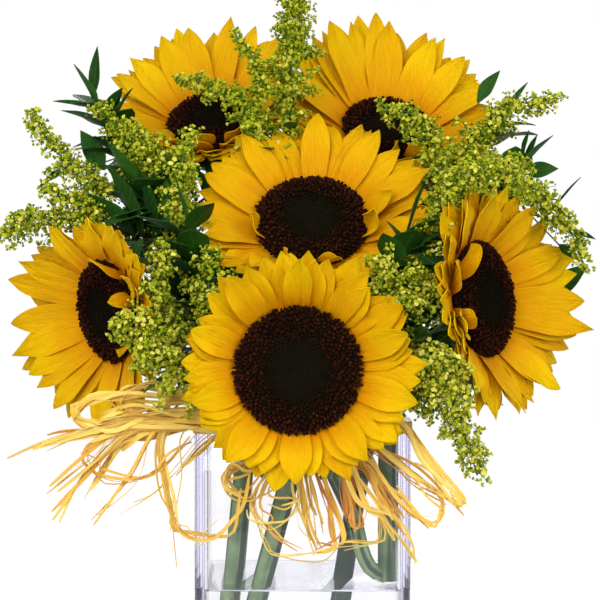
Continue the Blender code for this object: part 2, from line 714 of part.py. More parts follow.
def side_branch(base, along, bearing, length, extra=0.0):
    """A side branch that leaves at an angle, arches outwards and droops at its tip."""
    across = along.orthogonal().normalized()
    across.rotate(Quaternion(along, math.radians(bearing)))
    out = (along * 0.65 + across).normalized()
    down = Vector((0, 0, -1))
    line = [base + out * (length * s) + down * (0.28 * length * s * s) for s in (0, 0.5, 1)]
    return florets(line, BRANCH_RADIUS, extra)


def make_goldenrod(name, stem):
    pieces = []
    for fork, route in enumerate(stem["plumes"]):
        path = spline(list(route), 2)
        pieces.append(florets(path, BRANCH_RADIUS))
        length = sum((b - a).length for a, b in zip(path, path[1:]))
        count = max(3, round(length / BRANCH_STEP))
        for k, base, along in along_stem(path, 0.08, count):
            reach = 0.030 - 0.016 * k / (count - 1)
            pieces += first_clear([partial(side_branch, base, along, 60 * fork + GOLDEN_ANGLE * k + turn, reach)
                                   for turn in TURNS])
    path = thin_path(stem["bearing"], [*stem["rise"], stem["plumes"][0][0]])
    keep(fuse(f"goldenrod_{name}", skin(path, THIN_STEM, 3), pieces, PLUME))


# ---------------------------------------------------------------- leafy stems
def side_leaf(base, along, bearing, length, extra=0.0):
    across = along.orthogonal().normalized()
    across.rotate(Quaternion(along, math.radians(bearing)))
    out = (along * 0.85 + across).normalized()
    return leaf(base, out, length, 0.23 * length, 0.18, (0, 0.42, 1), extra)


def make_leafy(name, stem):
    path = thin_path(stem["bearing"], stem["rise"])
    leaves = []
    for k, base, along in along_stem(path, stem["start"], stem["leaves"]):
        length = stem["length"] * (1.0 - 0.28 * k / stem["leaves"])
        leaves += first_clear([partial(side_leaf, base, along, GOLDEN_ANGLE * k + turn, length)
                               for turn in TURNS])
    tip = (path[-1] - path[-2]).normalized()
    leaves += first_clear([partial(leaf, path[-1] - tip * 0.004, tip, stem["length"] * reach, 0.007, 0.1,
                                   (0, 0.42, 1)) for reach in (0.75, 0.5)])
    keep(fuse(f"foliage_{name}", skin(path, THIN_STEM, 3), leaves, LEAF))


# ---------------------------------------------------------------- raffia
def make_raffia():
    """The band round the vase's neck, and the bow that is tied to its front."""
    inner, outer = GAP, GAP + BAND_THICK
    band = solid("raffia_band", rounded_box(VASE_SIDE + 2 * outer, BAND_TOP - BAND_HEIGHT, BAND_TOP,
                                            VASE_CORNER + outer, "raffia_band"), RAFFIA)
    cut(band, [rounded_box(VASE_SIDE + 2 * inner, 0.0, VASE_HEIGHT, VASE_CORNER + inner, "hole")], "hole")
    keep(band)

    bm = bmesh.new()
    bmesh.ops.create_uvsphere(bm, u_segments=8, v_segments=6, radius=1.0)
    bmesh.ops.scale(bm, vec=KNOT_SIZE, verts=bm.verts)
    bmesh.ops.translate(bm, vec=KNOT, verts=bm.verts)
    knot = finish_mesh(bm, "knot")
    strands = [skin(spline([KNOT, *route], 2), STRAND, 3) for route in STRANDS]
    keep(fuse("raffia_bow", knot, strands, RAFFIA))


# ---------------------------------------------------------------- the arrangement
def main():
    make_vase()
    make_water()
    for name, head in HEADS.items():
        make_sunflower(name, head)
    make_raffia()
    for name, stem in GOLDENROD.items():
        make_goldenrod(name, stem)
    for name, stem in LEAFY.items():
        make_leafy(name, stem)
    for collection in (CUTTERS, REPEATS):
        bpy.data.collections.remove(collection)


main()
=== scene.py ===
"""Six sunflowers with goldenrod and dark foliage in a square glass vase, tied with raffia."""

import math
import random
from collections import namedtuple

import bmesh
import bpy
import numpy as np
from mathutils import Matrix, Quaternion, Vector
from mathutils.bvhtree import BVHTree


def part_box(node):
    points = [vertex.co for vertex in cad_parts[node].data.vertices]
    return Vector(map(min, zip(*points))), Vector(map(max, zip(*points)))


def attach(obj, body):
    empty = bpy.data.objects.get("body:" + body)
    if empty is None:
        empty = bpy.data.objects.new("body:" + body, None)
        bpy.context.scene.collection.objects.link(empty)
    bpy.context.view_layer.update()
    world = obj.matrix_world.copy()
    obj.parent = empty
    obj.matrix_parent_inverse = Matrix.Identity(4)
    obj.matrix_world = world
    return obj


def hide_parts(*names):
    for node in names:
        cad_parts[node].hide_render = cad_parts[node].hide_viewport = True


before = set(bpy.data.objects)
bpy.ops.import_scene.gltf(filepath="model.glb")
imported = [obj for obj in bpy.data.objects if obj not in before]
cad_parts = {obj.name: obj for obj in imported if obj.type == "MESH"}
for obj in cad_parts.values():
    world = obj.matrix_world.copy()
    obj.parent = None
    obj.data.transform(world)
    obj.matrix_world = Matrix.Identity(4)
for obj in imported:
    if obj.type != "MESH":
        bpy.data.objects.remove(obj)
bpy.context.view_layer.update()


# ================================================================ the glass vase
# A square vase of thick pressed glass with flat walls, a heavy floor and a fire-polished rim. It
# stands by itself, and everything else leans in it. Thick glass shows a lavender tint at its edges.
VASE_LOW, VASE_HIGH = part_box("vase")
VASE_SIDE = VASE_HIGH.x - VASE_LOW.x
VASE_HEIGHT = VASE_HIGH.z
VASE_WALL = 0.006
VASE_INSIDE = VASE_SIDE - 2 * VASE_WALL
VASE_FLOOR = 0.012
VASE_CORNER = 0.006
RIM_ROUNDING = 0.0014
FLOOR_ROUNDING = 0.0025


def select_only(obj=None):
    if bpy.context.object and bpy.context.object.mode != "OBJECT":
        bpy.ops.object.mode_set(mode="OBJECT")
    bpy.ops.object.select_all(action="DESELECT")
    if obj:
        obj.select_set(True)
        bpy.context.view_layer.objects.active = obj


def edit(obj, kind, test):
    """Opens the object in edit mode with only those vertices, edges or faces selected that pass."""
    select_only(obj)
    bpy.ops.object.mode_set(mode="EDIT")
    bpy.ops.mesh.select_mode(type=kind)
    bpy.ops.mesh.select_all(action="DESELECT")
    bm = bmesh.from_edit_mesh(obj.data)
    for item in {"VERT": bm.verts, "EDGE": bm.edges, "FACE": bm.faces}[kind]:
        if test(item):
            item.select_set(True)
    bm.select_flush_mode()
    bmesh.update_edit_mesh(obj.data)


def close_edit():
    bpy.ops.object.mode_set(mode="OBJECT")


def all_at(height):
    """A test for edges that lie at one height, where an upright face ends."""
    return lambda edge: (all(abs(v.co.z - height) < 1e-5 for v in edge.verts)
                         and any(abs(face.normal.z) < 0.5 for face in edge.link_faces))


def upright(edge):
    return abs(edge.verts[0].co.z - edge.verts[1].co.z) > 1e-4


def facing_up(above=-math.inf):
    """A test for level faces that look up and lie above this height."""
    return lambda face: face.normal.z > 0.9 and face.calc_center_median().z > above


def add_primitive(kind, name, **sizes):
    """A primitive from one of Blender's add operators, with its place and scale in its mesh."""
    select_only()
    getattr(bpy.ops.mesh, f"primitive_{kind}_add")(**sizes)
    made = bpy.context.object
    made.name = name
    bpy.ops.object.transform_apply(location=True, rotation=True, scale=True)
    return made


def rounded_box(name, side, low, high, corner, steps):
    box = add_primitive("cube", name, size=1, location=(0, 0, (low + high) / 2),
                        scale=(side, side, high - low))
    edit(box, "EDGE", upright)
    bpy.ops.mesh.bevel(offset=corner, segments=steps)
    close_edit()
    return box


def apply(obj, kind, **settings):
    """Adds a modifier with these settings and applies it."""
    select_only(obj)
    made = obj.modifiers.new(kind.lower(), kind)
    for key, value in settings.items():
        setattr(made, key, value)
    bpy.ops.object.modifier_apply(modifier=made.name)


def wear(obj, material):
    obj.data.materials.clear()
    obj.data.materials.append(material)


def settle(piece, slot, *nodes, smooth=60):
    """Shades a finished piece, rides it on the one body, and puts it in place of its CAD nodes."""
    select_only(piece)
    bpy.ops.object.shade_smooth_by_angle(angle=math.radians(smooth))
    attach(piece, "root")
    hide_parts(*nodes)


def feed(tree, socket, value):
    """Gives a shader node's input a plain value, or links it to an output."""
    if isinstance(value, bpy.types.NodeSocket):
        tree.links.new(value, socket)
    else:
        socket.default_value = value


def node(tree, kind, inputs=None, **settings):
    """A shader node, with its settings and with values or links for its inputs."""
    made = tree.nodes.new("ShaderNode" + kind)
    for key, value in settings.items():
        setattr(made, key, value)
    for key, value in (inputs or {}).items():
        feed(tree, made.inputs[key], value)
    return made


def finish(name, inputs):
    """A material, its node tree and its Principled shader with plain values on its sockets."""
    made = bpy.data.materials.new(name)
    made.use_nodes = True
    shader = made.node_tree.nodes["Principled BSDF"]
    for key, value in inputs.items():
        shader.inputs[key].default_value = value
    return made, made.node_tree, shader


def bump(tree, shader, height, distance, strength):
    made = node(tree, "Bump", {"Height": height, "Distance": distance, "Strength": strength})
    tree.links.new(made.outputs["Normal"], shader.inputs["Normal"])


def object_coordinates(tree):
    return node(tree, "TexCoord").outputs["Object"]


def clear_finish(name, colour, ior, ripples, tint, density, lamps):
    """A clear material, rippled a little, tinted where it is thick, that lets lamps through.

    ripples is the scale, the depth and the strength of its bumps, and lamps is the share of a lamp's
    light that each of its surfaces passes straight on."""
    made, tree, shader = finish(name, {
        "Base Color": (*colour, 1), "Roughness": 0.0, "IOR": ior, "Transmission Weight": 1.0})
    scale, *relief = ripples
    noise = node(tree, "TexNoise", {"Vector": object_coordinates(tree), "Scale": scale, "Detail": 1.0})
    bump(tree, shader, noise.outputs["Fac"], *relief)
    thick = node(tree, "VolumeAbsorption", {"Color": (*tint, 1), "Density": density})
    clear = node(tree, "BsdfTransparent", {"Color": (*lamps, 1)})
    at_lamps = node(tree, "LightPath").outputs["Is Shadow Ray"]
    both = node(tree, "MixShader", {0: at_lamps, 1: shader.outputs[0], 2: clear.outputs[0]})
    ends = tree.nodes["Material Output"].inputs
    tree.links.new(thick.outputs["Volume"], ends["Volume"])
    tree.links.new(both.outputs[0], ends["Surface"])
    return made


GLASS = clear_finish("clear_glass", (0.995, 0.993, 1.0), ior=1.48, ripples=(22.0, 0.0006, 0.25),
                     tint=(0.74, 0.70, 0.94), density=7.0, lamps=(0.92, 0.91, 0.95))

vase = rounded_box("glass_vase", VASE_SIDE, 0, VASE_HEIGHT, VASE_CORNER, 8)
cavity = rounded_box("cavity", VASE_INSIDE, VASE_FLOOR, VASE_HEIGHT + 0.01, VASE_CORNER / 2, 8)
apply(vase, "BOOLEAN", operation="DIFFERENCE", object=cavity, solver="EXACT")
bpy.data.objects.remove(cavity)
edit(vase, "FACE", facing_up(VASE_HEIGHT - 1e-4))
bpy.ops.mesh.delete(type="FACE")
edit(vase, "EDGE", all_at(VASE_HEIGHT))
bpy.ops.mesh.bridge_edge_loops()
close_edit()
for height, rounding, steps in ((VASE_HEIGHT, RIM_ROUNDING, 4), (VASE_FLOOR, FLOOR_ROUNDING, 4),
                                (0.0, RIM_ROUNDING, 3)):
    edit(vase, "EDGE", all_at(height))
    bpy.ops.mesh.bevel(offset=rounding, segments=steps)
    close_edit()
wear(vase, GLASS)
settle(vase, "glass", "vase", smooth=30)


# ================================================================ the water
# Clear water up to half the vase. It climbs a little up the glass all round its edge, and reaches
# just into the wall, so that no film of air shows between the two.
WATER_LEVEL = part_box("water")[1].z
INTO_GLASS = 0.0002
WATER_FOOT = VASE_FLOOR - INTO_GLASS
WATER_SIDE = VASE_INSIDE + 2 * INTO_GLASS
MENISCUS = 0.0014
MENISCUS_STEPS = ((0.0006, -0.55), (0.0008, -0.3), (0.0014, -0.15))  # inwards, and down as a share

WATER = clear_finish("water", (1, 1, 1), ior=1.333, ripples=(30.0, 0.0004, 0.3),
                     tint=(0.90, 0.96, 0.95), density=1.5, lamps=(0.97, 0.98, 0.98))

water = rounded_box("vase_water", WATER_SIDE, WATER_FOOT, WATER_LEVEL - MENISCUS, VASE_CORNER / 2, 6)
edit(water, "EDGE", all_at(WATER_FOOT))
bpy.ops.mesh.bevel(offset=FLOOR_ROUNDING, segments=4)
edit(water, "FACE", facing_up(WATER_LEVEL / 2))
for inward, drop in MENISCUS_STEPS:
    bpy.ops.mesh.inset(thickness=inward)
    bpy.ops.transform.translate(value=(0, 0, drop * MENISCUS))
close_edit()
for vert in water.data.vertices:
    if vert.co.z > WATER_LEVEL / 2:
        vert.co.z += MENISCUS
wear(water, WATER)
settle(water, "water", "water")


# ================================================================ sunflower stalks
# Thick green stalks, ribbed and hairy, cut square at the foot. Each carries a green cup, the
# receptacle, under its flower, with two rows of pointed bracts, and some carry a broad leaf.
GAP = 0.0003
STALK = 0.006
STALK_SIDES = 20
STALK_STEPS = 90
NECK, SEAT = 0.036, 0.016  # how far behind the cup's top a stalk straightens and ends
HAIR_COUNT = 900
HAIRS_FROM = 0.45  # a stalk's lower part has none
HAIR_LENGTHS = (0.0009, 0.0019)
RIB_COUNT, RIB_DEPTH = 9, 0.035  # round a stalk, and beside its radius
STALK_TAPER = (0, 0.9, 1), (1, 0.9, 1.05)  # shares of the way up, and its radius there beside the foot's
STUB, STUB_STEPS = 0.75, 24  # the forked stub's radius beside the stalk's, and its steps
RING_WIDTH = 0.0050
RING_THICK = 0.0048
CUP_TOP = -RING_THICK - GAP
BRACT_COUNT = 8
BLADE_THICK = 0.0005
RAY_STEPS = 24
LEAF_STEPS = 16
TURNS = (0, 18, -18, 36, -36, 54, -54, 75, -75, 100, -100, 130, -130)  # in degrees, for crowded shoots
FOUND = 0.0008  # a tip that lies this close to the solid belongs to it


def mm(*xyz):
    return Vector(xyz) * 0.001


# Each head: centre of the disc's rim, the way it faces, disc radius, petal length, cupping in degrees,
# petal reach, added cupping and drawn length beside the solid's to its right, top, left and bottom, the
# least painted shade of its petals, which darkens them where the head lies in shade, and its stalk's route
# and how deep its green is. Some have single petals that stand out of the rest, as bearing in degrees and
# length in mm, broad leaves, as share of the stalk, bearing and length, bearings of petals that curl in over
# the disc, and the route of a second shoot.
Head = namedtuple("Head", "centre faces disc petal cup reach curl drawn tone deep foot rim rise more leaves "
                          "inner shoot", defaults=((), (), (), ()))
HEADS = {
    "front": Head(
        centre=mm(-2.6, -102, 232), faces=(0.0, -1.0, 0.03), disc=0.0350, petal=0.038, cup=38,
        reach=(1.0, 0.95, 0.95, 1.0), curl=(0, 0, 0, 0), drawn=(1.0, 1.0, 0.93, 0.87), tone=0.0, deep=0.3,
        foot=mm(-48, -28, 12), rim=mm(3, -42, 203), rise=(mm(0, -43, 221), mm(-2, -54, 233)),
    ),
    "middle": Head(
        centre=mm(5.7, -25, 319), faces=(0.0, -0.788, 0.616), disc=0.0332, petal=0.043, cup=24,
        reach=(0.95, 1.0, 0.88, 0.62), curl=(4, 0, 4, 14), drawn=(1.04, 1.0, 1.0, 1.0), tone=0.8, deep=0.15,
        foot=mm(-47, 20, 12), rim=mm(4, 5, 203), rise=(mm(7, 11, 250), mm(6, 12, 288)),
        leaves=((0.55, 160, 0.07),), inner=(-14, 8, 196, 246, 284),
    ),
    "upper_left": Head(
        centre=mm(-58, 50, 385), faces=(-0.17, -0.68, 0.71), disc=0.0262, petal=0.047, cup=22,
        reach=(0.62, 1.08, 0.84, 0.5), curl=(8, 4, 4, 26), drawn=(0.9, 1.12, 1.13, 1.0), tone=0.0, deep=0.1,
        foot=mm(-50, 44, 12), rim=mm(-32, 24, 203), rise=(mm(-40, 48, 290), mm(-50, 76, 350)),
        more=((159, 47), (147, 48), (126, 49), (111, 49)),
        leaves=((0.55, 190, 0.075),), inner=(236, 280, 318),
    ),
    "upper_right": Head(
        centre=mm(54, 50, 379), faces=(0.13, -0.72, 0.68), disc=0.0275, petal=0.055, cup=22,
        reach=(0.74, 1.0, 0.78, 0.45), curl=(0, 6, 0, 26), drawn=(1.12, 1.1, 1.12, 1.0), tone=0.0, deep=0.88,
        foot=mm(9, -20, 12), rim=mm(43, 18, 203), rise=(mm(42, 54, 290), mm(47, 78, 345)),
        more=((117, 59), (105, 56), (84, 55), (60, 50), (39, 49)),
        leaves=((0.55, -10, 0.075),), inner=(222, 262, 300),
    ),
    "left": Head(
        centre=mm(-116, -38, 265.5), faces=(-0.80, -0.57, -0.16), disc=0.0293, petal=0.047, cup=22,
        reach=(0.80, 0.70, 1.12, 0.72), curl=(10, 0, 10, 4), drawn=(1.0, 0.76, 1.1, 1.22), tone=0.2, deep=0.3,
        foot=mm(-50.5, 2, 12), rim=mm(-32, -26, 203), rise=(mm(-46, -14, 243), mm(-76, -12, 268)),
        more=((183, 53), (198, 52), (210, 50), (219, 49), (150, 46)), inner=(-32, 12, 50),
    ),
    "right": Head(
        centre=mm(107.5, -38, 272.6), faces=(0.83, -0.545, 0.106), disc=0.0331, petal=0.050, cup=22,
        reach=(1.06, 0.66, 0.72, 0.74), curl=(10, 4, 14, 4), drawn=(1.0, 1.1, 1.0, 1.04), tone=0.0, deep=0.5,
        foot=mm(51.2, -24, 102), rim=mm(51.2, -24, 203), rise=(mm(52, -19, 235), mm(70, -14, 265)),
        more=((357, 54), (24, 46), (306, 40)), inner=(146, 200),
        shoot=(mm(50, -24, 105), mm(41, -25, 109), mm(35.5, -25, 120), mm(31, -26, 138), mm(20, -26, 162),
               mm(8, -27, 186)),
    ),
}

Form = namedtuple("Form", "points corners sizes uv tint")


def take_form(obj):
    """Reads a small finished mesh into arrays, to be copied many times, and removes its object."""
    mesh = obj.data

    def read(items, key, kind=float, each=1):
        values = np.empty(len(items) * each, kind)
        items.foreach_get(key, values)
        return values

    points = read(mesh.vertices, "co", each=3).reshape(-1, 3)
    corners, sizes = read(mesh.loops, "vertex_index", int), read(mesh.polygons, "loop_total", int)
    uv = read(mesh.uv_layers.active.data, "uv", each=2).reshape(-1, 2)
    bpy.data.objects.remove(obj)
    height = points[:, 2]
    return Form(points, corners, sizes, uv, (height - height.min()) / (np.ptp(height) or 1.0))


class Gather:
    """Collects copies of small forms, and makes one mesh of them."""

    def __init__(self):
        self.points, self.corners, self.sizes, self.uv, self.shade, self.finish = [], [], [], [], [], []
        self.count = 0

    def put(self, form, points=None, places=None, shade=0.5, tinted=0.0, finish=0):
        """Adds the form at each place, given as 4 x 4 matrices, or once with these points.

        shade is a number for each copy, and tinted is how much lighter the top of a copy is."""
        if places is None:
            points = (form.points if points is None else points)[None]
        else:
            points = form.points @ places[:, :3, :3].transpose(0, 2, 1) + places[:, None, :3, 3]
        copies, each = points.shape[:2]
        steps = self.count + each * np.arange(copies)
        self.points.append(points.reshape(-1, 3))
        self.corners.append((form.corners[None] + steps[:, None]).ravel())
        self.sizes.append(np.tile(form.sizes, copies))
        self.uv.append(np.tile(form.uv, (copies, 1)))
        light = np.broadcast_to(np.atleast_1d(shade)[:, None], (copies, each)) + tinted * (form.tint - 0.5)
        self.shade.append(light.ravel())
        self.finish.append(np.full(copies * len(form.sizes), finish))
        self.count += copies * each

    def piece(self, name, *materials):
        mesh = bpy.data.meshes.new(name)
        sizes = np.concatenate(self.sizes)
        mesh.vertices.add(self.count)
        mesh.vertices.foreach_set("co", np.concatenate(self.points).ravel())
        mesh.loops.add(int(sizes.sum()))
        mesh.loops.foreach_set("vertex_index", np.concatenate(self.corners))
        mesh.polygons.add(len(sizes))
        mesh.polygons.foreach_set("loop_start", np.concatenate([[0], np.cumsum(sizes)[:-1]]))
        mesh.polygons.foreach_set("material_index", np.concatenate(self.finish))
        mesh.uv_layers.new(name="UVMap").data.foreach_set("uv", np.concatenate(self.uv).ravel())
        shade = mesh.attributes.new("shade", "FLOAT", "POINT")
        shade.data.foreach_set("value", np.concatenate(self.shade).astype(np.float32))
        mesh.update(calc_edges=True)
        for made in materials:
            mesh.materials.append(made)
        obj = bpy.data.objects.new(name, mesh)
        bpy.context.scene.collection.objects.link(obj)
        return obj


def any_of_them(item):
    return True


def tidy_surface(obj, thickness=0.0):
    """Merges what coincides, turns the faces outwards, and gives thin blades their thickness."""
    edit(obj, "VERT", any_of_them)
    bpy.ops.mesh.remove_doubles(threshold=1e-6)
    bpy.ops.mesh.dissolve_degenerate(threshold=1e-6)
    if not thickness:
        bpy.ops.mesh.normals_make_consistent(inside=False)
    close_edit()
    if thickness:
        apply(obj, "SOLIDIFY", thickness=thickness, offset=0.0)


def join(piece, *others):
    select_only(piece)
    for other in others:
        other.select_set(True)
    bpy.ops.object.join()


def grid_form(columns, rows, tip=1.0):
    """A flat strip with x from -1 to 1 across and z from 0 to 1 along. tip gathers rows near the end."""
    form = take_form(add_primitive("grid", "strip", x_subdivisions=columns, y_subdivisions=rows, size=2))
    along = 1 - (1 - (form.points[:, 1] + 1) / 2) ** tip
    uv = form.uv.copy()
    uv[:, 1] = along[form.corners]
    points = np.stack([form.points[:, 0], np.zeros(len(along)), along], axis=1)
    return form._replace(points=points, uv=uv, tint=along)


def standing(kind, sides, height=1, **radii):
    """A cylinder or a cone that stands on the level of 0."""
    return add_primitive(kind, kind, vertices=sides, depth=height, location=(0, 0, height / 2), **radii)


def rod_form(sides, rows):
    """A closed rod of radius 1 from z 0 to 1, with rings for bending."""
    rod = standing("cylinder", sides, radius=1)
    edit(rod, "EDGE", upright)
    bpy.ops.mesh.subdivide(number_cuts=rows - 1)
    close_edit()
    return take_form(rod)


def smooth_line(points, steps):
    """A Catmull-Rom curve through the points, with this many steps between two of them."""
    ends = [2 * points[0] - points[1], *points, 2 * points[-1] - points[-2]]
    line = []
    for a, b, c, d in zip(ends, ends[1:], ends[2:], ends[3:]):
        for k in range(steps):
            t = k / steps
            line.append(0.5 * (2 * b + (c - a) * t + (2 * a - 5 * b + 4 * c - d) * t * t
                               + (3 * b - a - 3 * c + d) * t ** 3))
    return [*line, points[-1].copy()]


def distances(path):
    """How far along the path each of its points is."""
    return np.concatenate([[0], np.cumsum(np.linalg.norm(np.diff(path, axis=0), axis=1))])


def sample(rows, steps, where):
    """Points or directions that are known at these steps, read off in between."""
    return np.stack([np.interp(where, steps, rows[:, k]) for k in range(3)], axis=1)


def even(path, count):
    """The path as an array of points at equal distances."""
    path = np.array(path)
    gone = distances(path)
    return sample(path, gone, np.linspace(0, gone[-1], count))


def unit(rows):
    return rows / np.maximum(np.linalg.norm(rows, axis=-1, keepdims=True), 1e-12)


def ahead_of(line):
    """The way that a line runs at each of its points."""
    return unit(np.gradient(line, axis=0))


def carried(line, first=None):
    """A direction across the line at each of its points, carried along it without twisting."""
    ahead = ahead_of(line)
    across = np.array(first if first is not None else Vector(ahead[0]).orthogonal())
    made = []
    for direction in ahead:
        across = unit(across - direction * across.dot(direction))
        made.append(across)
    return np.array(made)


def lay(form, line, across, reach, relief=None):
    """Bends a form along a line: x runs across, z along, and y, or relief(s, x, half), off the surface."""
    x, s = form.points[:, 0], form.points[:, 2]
    steps = np.linspace(0, 1, len(line))
    half = reach(s) if callable(reach) else np.interp(s, steps, np.broadcast_to(reach, len(line)))
    off = form.points[:, 1] * half if relief is None else relief(s, x, half)
    normal = np.cross(across, ahead_of(line))
    return (sample(line, steps, s) + sample(across, steps, s) * (x * half)[:, None]
            + sample(normal, steps, s) * off[:, None])


def stand_on(spots, axes, sizes, turns):
    """Matrices that stand a form's z axis along each of the axes at its spot, turned round it."""
    axes = unit(axes)
    helper = np.where(np.abs(axes[:, 2:]) < 0.9, [[0.0, 0.0, 1.0]], [[1.0, 0.0, 0.0]])
    across = unit(np.cross(helper, axes))
    other = np.cross(axes, across)
    c, s = np.cos(turns)[:, None], np.sin(turns)[:, None]
    sizes = sizes[:, None] * np.ones(3) if sizes.ndim == 1 else sizes
    places = np.zeros((len(spots), 4, 4))
    places[:, :3, 0] = (across * c + other * s) * sizes[:, :1]
    places[:, :3, 1] = (other * c - across * s) * sizes[:, 1:2]
    places[:, :3, 2] = axes * sizes[:, 2:]
    places[:, :3, 3] = spots
    places[:, 3, 3] = 1
    return places


def surface_of(meshes):
    """One surface to test against, of several finished meshes."""
    points, faces = [], []
    for mesh in meshes:
        first = len(points)
        points.extend(vertex.co for vertex in mesh.vertices)
        faces.extend([first + corner for corner in face.vertices] for face in mesh.polygons)
    return BVHTree.FromPolygons(points, faces)


def solid_surface(name):
    """The surface of a CAD node, to find out which way its branches, leaves or petals were turned."""
    return surface_of([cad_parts[name].data])


def best_fit(surface, candidates):
    """What the candidate on the solid stands for, from pairs of (point, what it stands for), or None."""
    away, found = min((surface.find_nearest(Vector(point))[3], k) for k, (point, _) in enumerate(candidates))
    return candidates[found][1] if away < FOUND else None


def fitting(surface, courses):
    """The course, a line and the directions across it, whose end lies on the solid, or None."""
    return best_fit(surface, [(course[0][-1], course) for course in courses])


def head_place(head):
    """The head's own axes and centre as a matrix: the viewer's right, up, and the way it faces."""
    faces = Vector(head.faces).normalized()
    up = (Vector((0, 0, 1)) - faces * faces.z).normalized()
    return Matrix.Translation(head.centre) @ Matrix((up.cross(faces), up, faces)).transposed().to_4x4()


def ray_course(place, angle, start, height, *degrees, length):
    """The line of a petal or bract that leaves the head's rim at an angle, and the directions across it.

    degrees are its lift, its bend, its sway to one side and its twist."""
    lift, bend, sway, twist = map(math.radians, degrees)

    def ahead(s):
        rise, turn = lift + bend * s, angle + sway * s
        return Vector((math.cos(rise) * math.cos(turn), math.cos(rise) * math.sin(turn), math.sin(rise)))

    line = [Vector((start * math.cos(angle), start * math.sin(angle), height))]
    across = []
    for k in range(RAY_STEPS + 1):
        turn = angle + sway * k / RAY_STEPS
        flat = Vector((math.sin(turn), -math.cos(turn), 0.0))
        flat.rotate(Quaternion(ahead(k / RAY_STEPS), twist * k / RAY_STEPS))
        across.append(place.to_3x3() @ flat)
        if k < RAY_STEPS:
            line.append(line[-1] + ahead((k + 0.5) / RAY_STEPS) * (length / RAY_STEPS))
    return np.array([place @ p for p in line]), np.array(across)


def outline(root, widest, tip_power, half):
    """The half width of a pointed oval leaf: root is its width at the foot over the widest."""

    def width(s):
        growing = root + (1 - root) * np.sin(math.pi / 2 * np.minimum(s / widest, 1))
        narrowing = np.maximum(np.cos(math.pi / 2 * np.clip((s - widest) / (1 - widest), 0, 1)), 0)
        return half * np.where(s <= widest, growing, np.where(s < 1, narrowing ** tip_power, 0))

    return width


def polar(radius, degrees, z):
    turn = math.radians(degrees)
    return Vector((radius * math.cos(turn), radius * math.sin(turn), z))


def leaf_course(base, out, length, droop):
    """The line of a leaf that leaves its stem along out and droops, and the direction across it."""
    across = out.cross(Vector((0, 0, 1)))
    across = across.normalized() if across.length > 1e-3 else Vector((1, 0, 0))
    line = [base + out * (length * s) - Vector((0, 0, droop * length * s * s))
            for s in np.linspace(0, 1, LEAF_STEPS + 1)]
    return np.array(line), np.tile(across, (LEAF_STEPS + 1, 1))


def leaf_relief(draw, fold, wave):
    """A leaf's surface: folded along its rib, sunk at the side veins, and waved along its edges."""
    start, other = draw.uniform(0, 6), draw.uniform(0, 6)

    def relief(s, x, half):
        edge = np.abs(x)
        veins = 0.035 * half * np.cos(math.tau * (7 * s - 1.6 * edge)) * edge * (1 - edge)
        waves = np.where(x > 0, np.sin(9 * s + start), np.sin(10 * s + other))
        return fold * half * edge ** 1.25 + veins + wave * half * x * x * waves * (1 - s)

    return relief


def put_leaf(gather, draw, form, course, width, fold, wave):
    """Adds a leaf along a course, with a relief and a shade of its own, in its piece's third material."""
    shape = lay(form, *course, width, leaf_relief(draw, fold, wave))
    gather.put(form, points=shape, shade=draw.random(), finish=2)


# --- what the green stuffs share: patches of lighter and darker colour, long fibres, and leaf veins
def node_group(name, numbers, masks):
    """An empty group of shader nodes that is fed a vector and these numbers, and gives back these masks."""
    group = bpy.data.node_groups.new(name, "ShaderNodeTree")
    group.interface.new_socket("Vector", in_out="INPUT", socket_type="NodeSocketVector")
    for label in numbers:
        group.interface.new_socket(label, in_out="INPUT", socket_type="NodeSocketFloat")
    for label in masks:
        group.interface.new_socket(label, in_out="OUTPUT", socket_type="NodeSocketFloat")
    return group, group.nodes.new("NodeGroupInput").outputs, group.nodes.new("NodeGroupOutput").inputs


def maths(tree, operation, *values):
    return node(tree, "Math", dict(enumerate(values)), operation=operation).outputs[0]


def times(tree, one, other):
    return maths(tree, "MULTIPLY", one, other)


def mapped(tree, value, low, high, to_low=0.0, to_high=1.0):
    """The value with the range from low to high stretched over the other one."""
    ends = {"Value": value, "From Min": low, "From Max": high, "To Min": to_low, "To Max": to_high}
    return node(tree, "MapRange", ends).outputs["Result"]


def noise(tree, vector, detail, **more):
    return node(tree, "TexNoise", {"Vector": vector, "Detail": detail, **more}).outputs["Fac"]


FIBRES, given, out = node_group("long_fibres", ("Across", "Along"), ("Mask",))
parts = node(FIBRES, "SeparateXYZ", {"Vector": given["Vector"]}).outputs
stretched = {axis: times(FIBRES, parts[axis], given[scale])
             for axis, scale in (("X", "Across"), ("Y", "Along"), ("Z", "Across"))}
streaks = noise(FIBRES, node(FIBRES, "CombineXYZ", stretched).outputs[0], 3.0, Scale=1.0, Roughness=0.6)
FIBRES.links.new(mapped(FIBRES, streaks, 0.3, 0.7), out["Mask"])

PATCHES, given, out = node_group("patches", ("Scale",), ("Mask", "Fine"))
broad = noise(PATCHES, given["Vector"], 2.0, Scale=given["Scale"])
fine = noise(PATCHES, given["Vector"], 2.0, Scale=times(PATCHES, given["Scale"], 7.0))
PATCHES.links.new(mapped(PATCHES, broad, 0.32, 0.68), out["Mask"])
PATCHES.links.new(mapped(PATCHES, fine, 0.3, 0.7), out["Fine"])

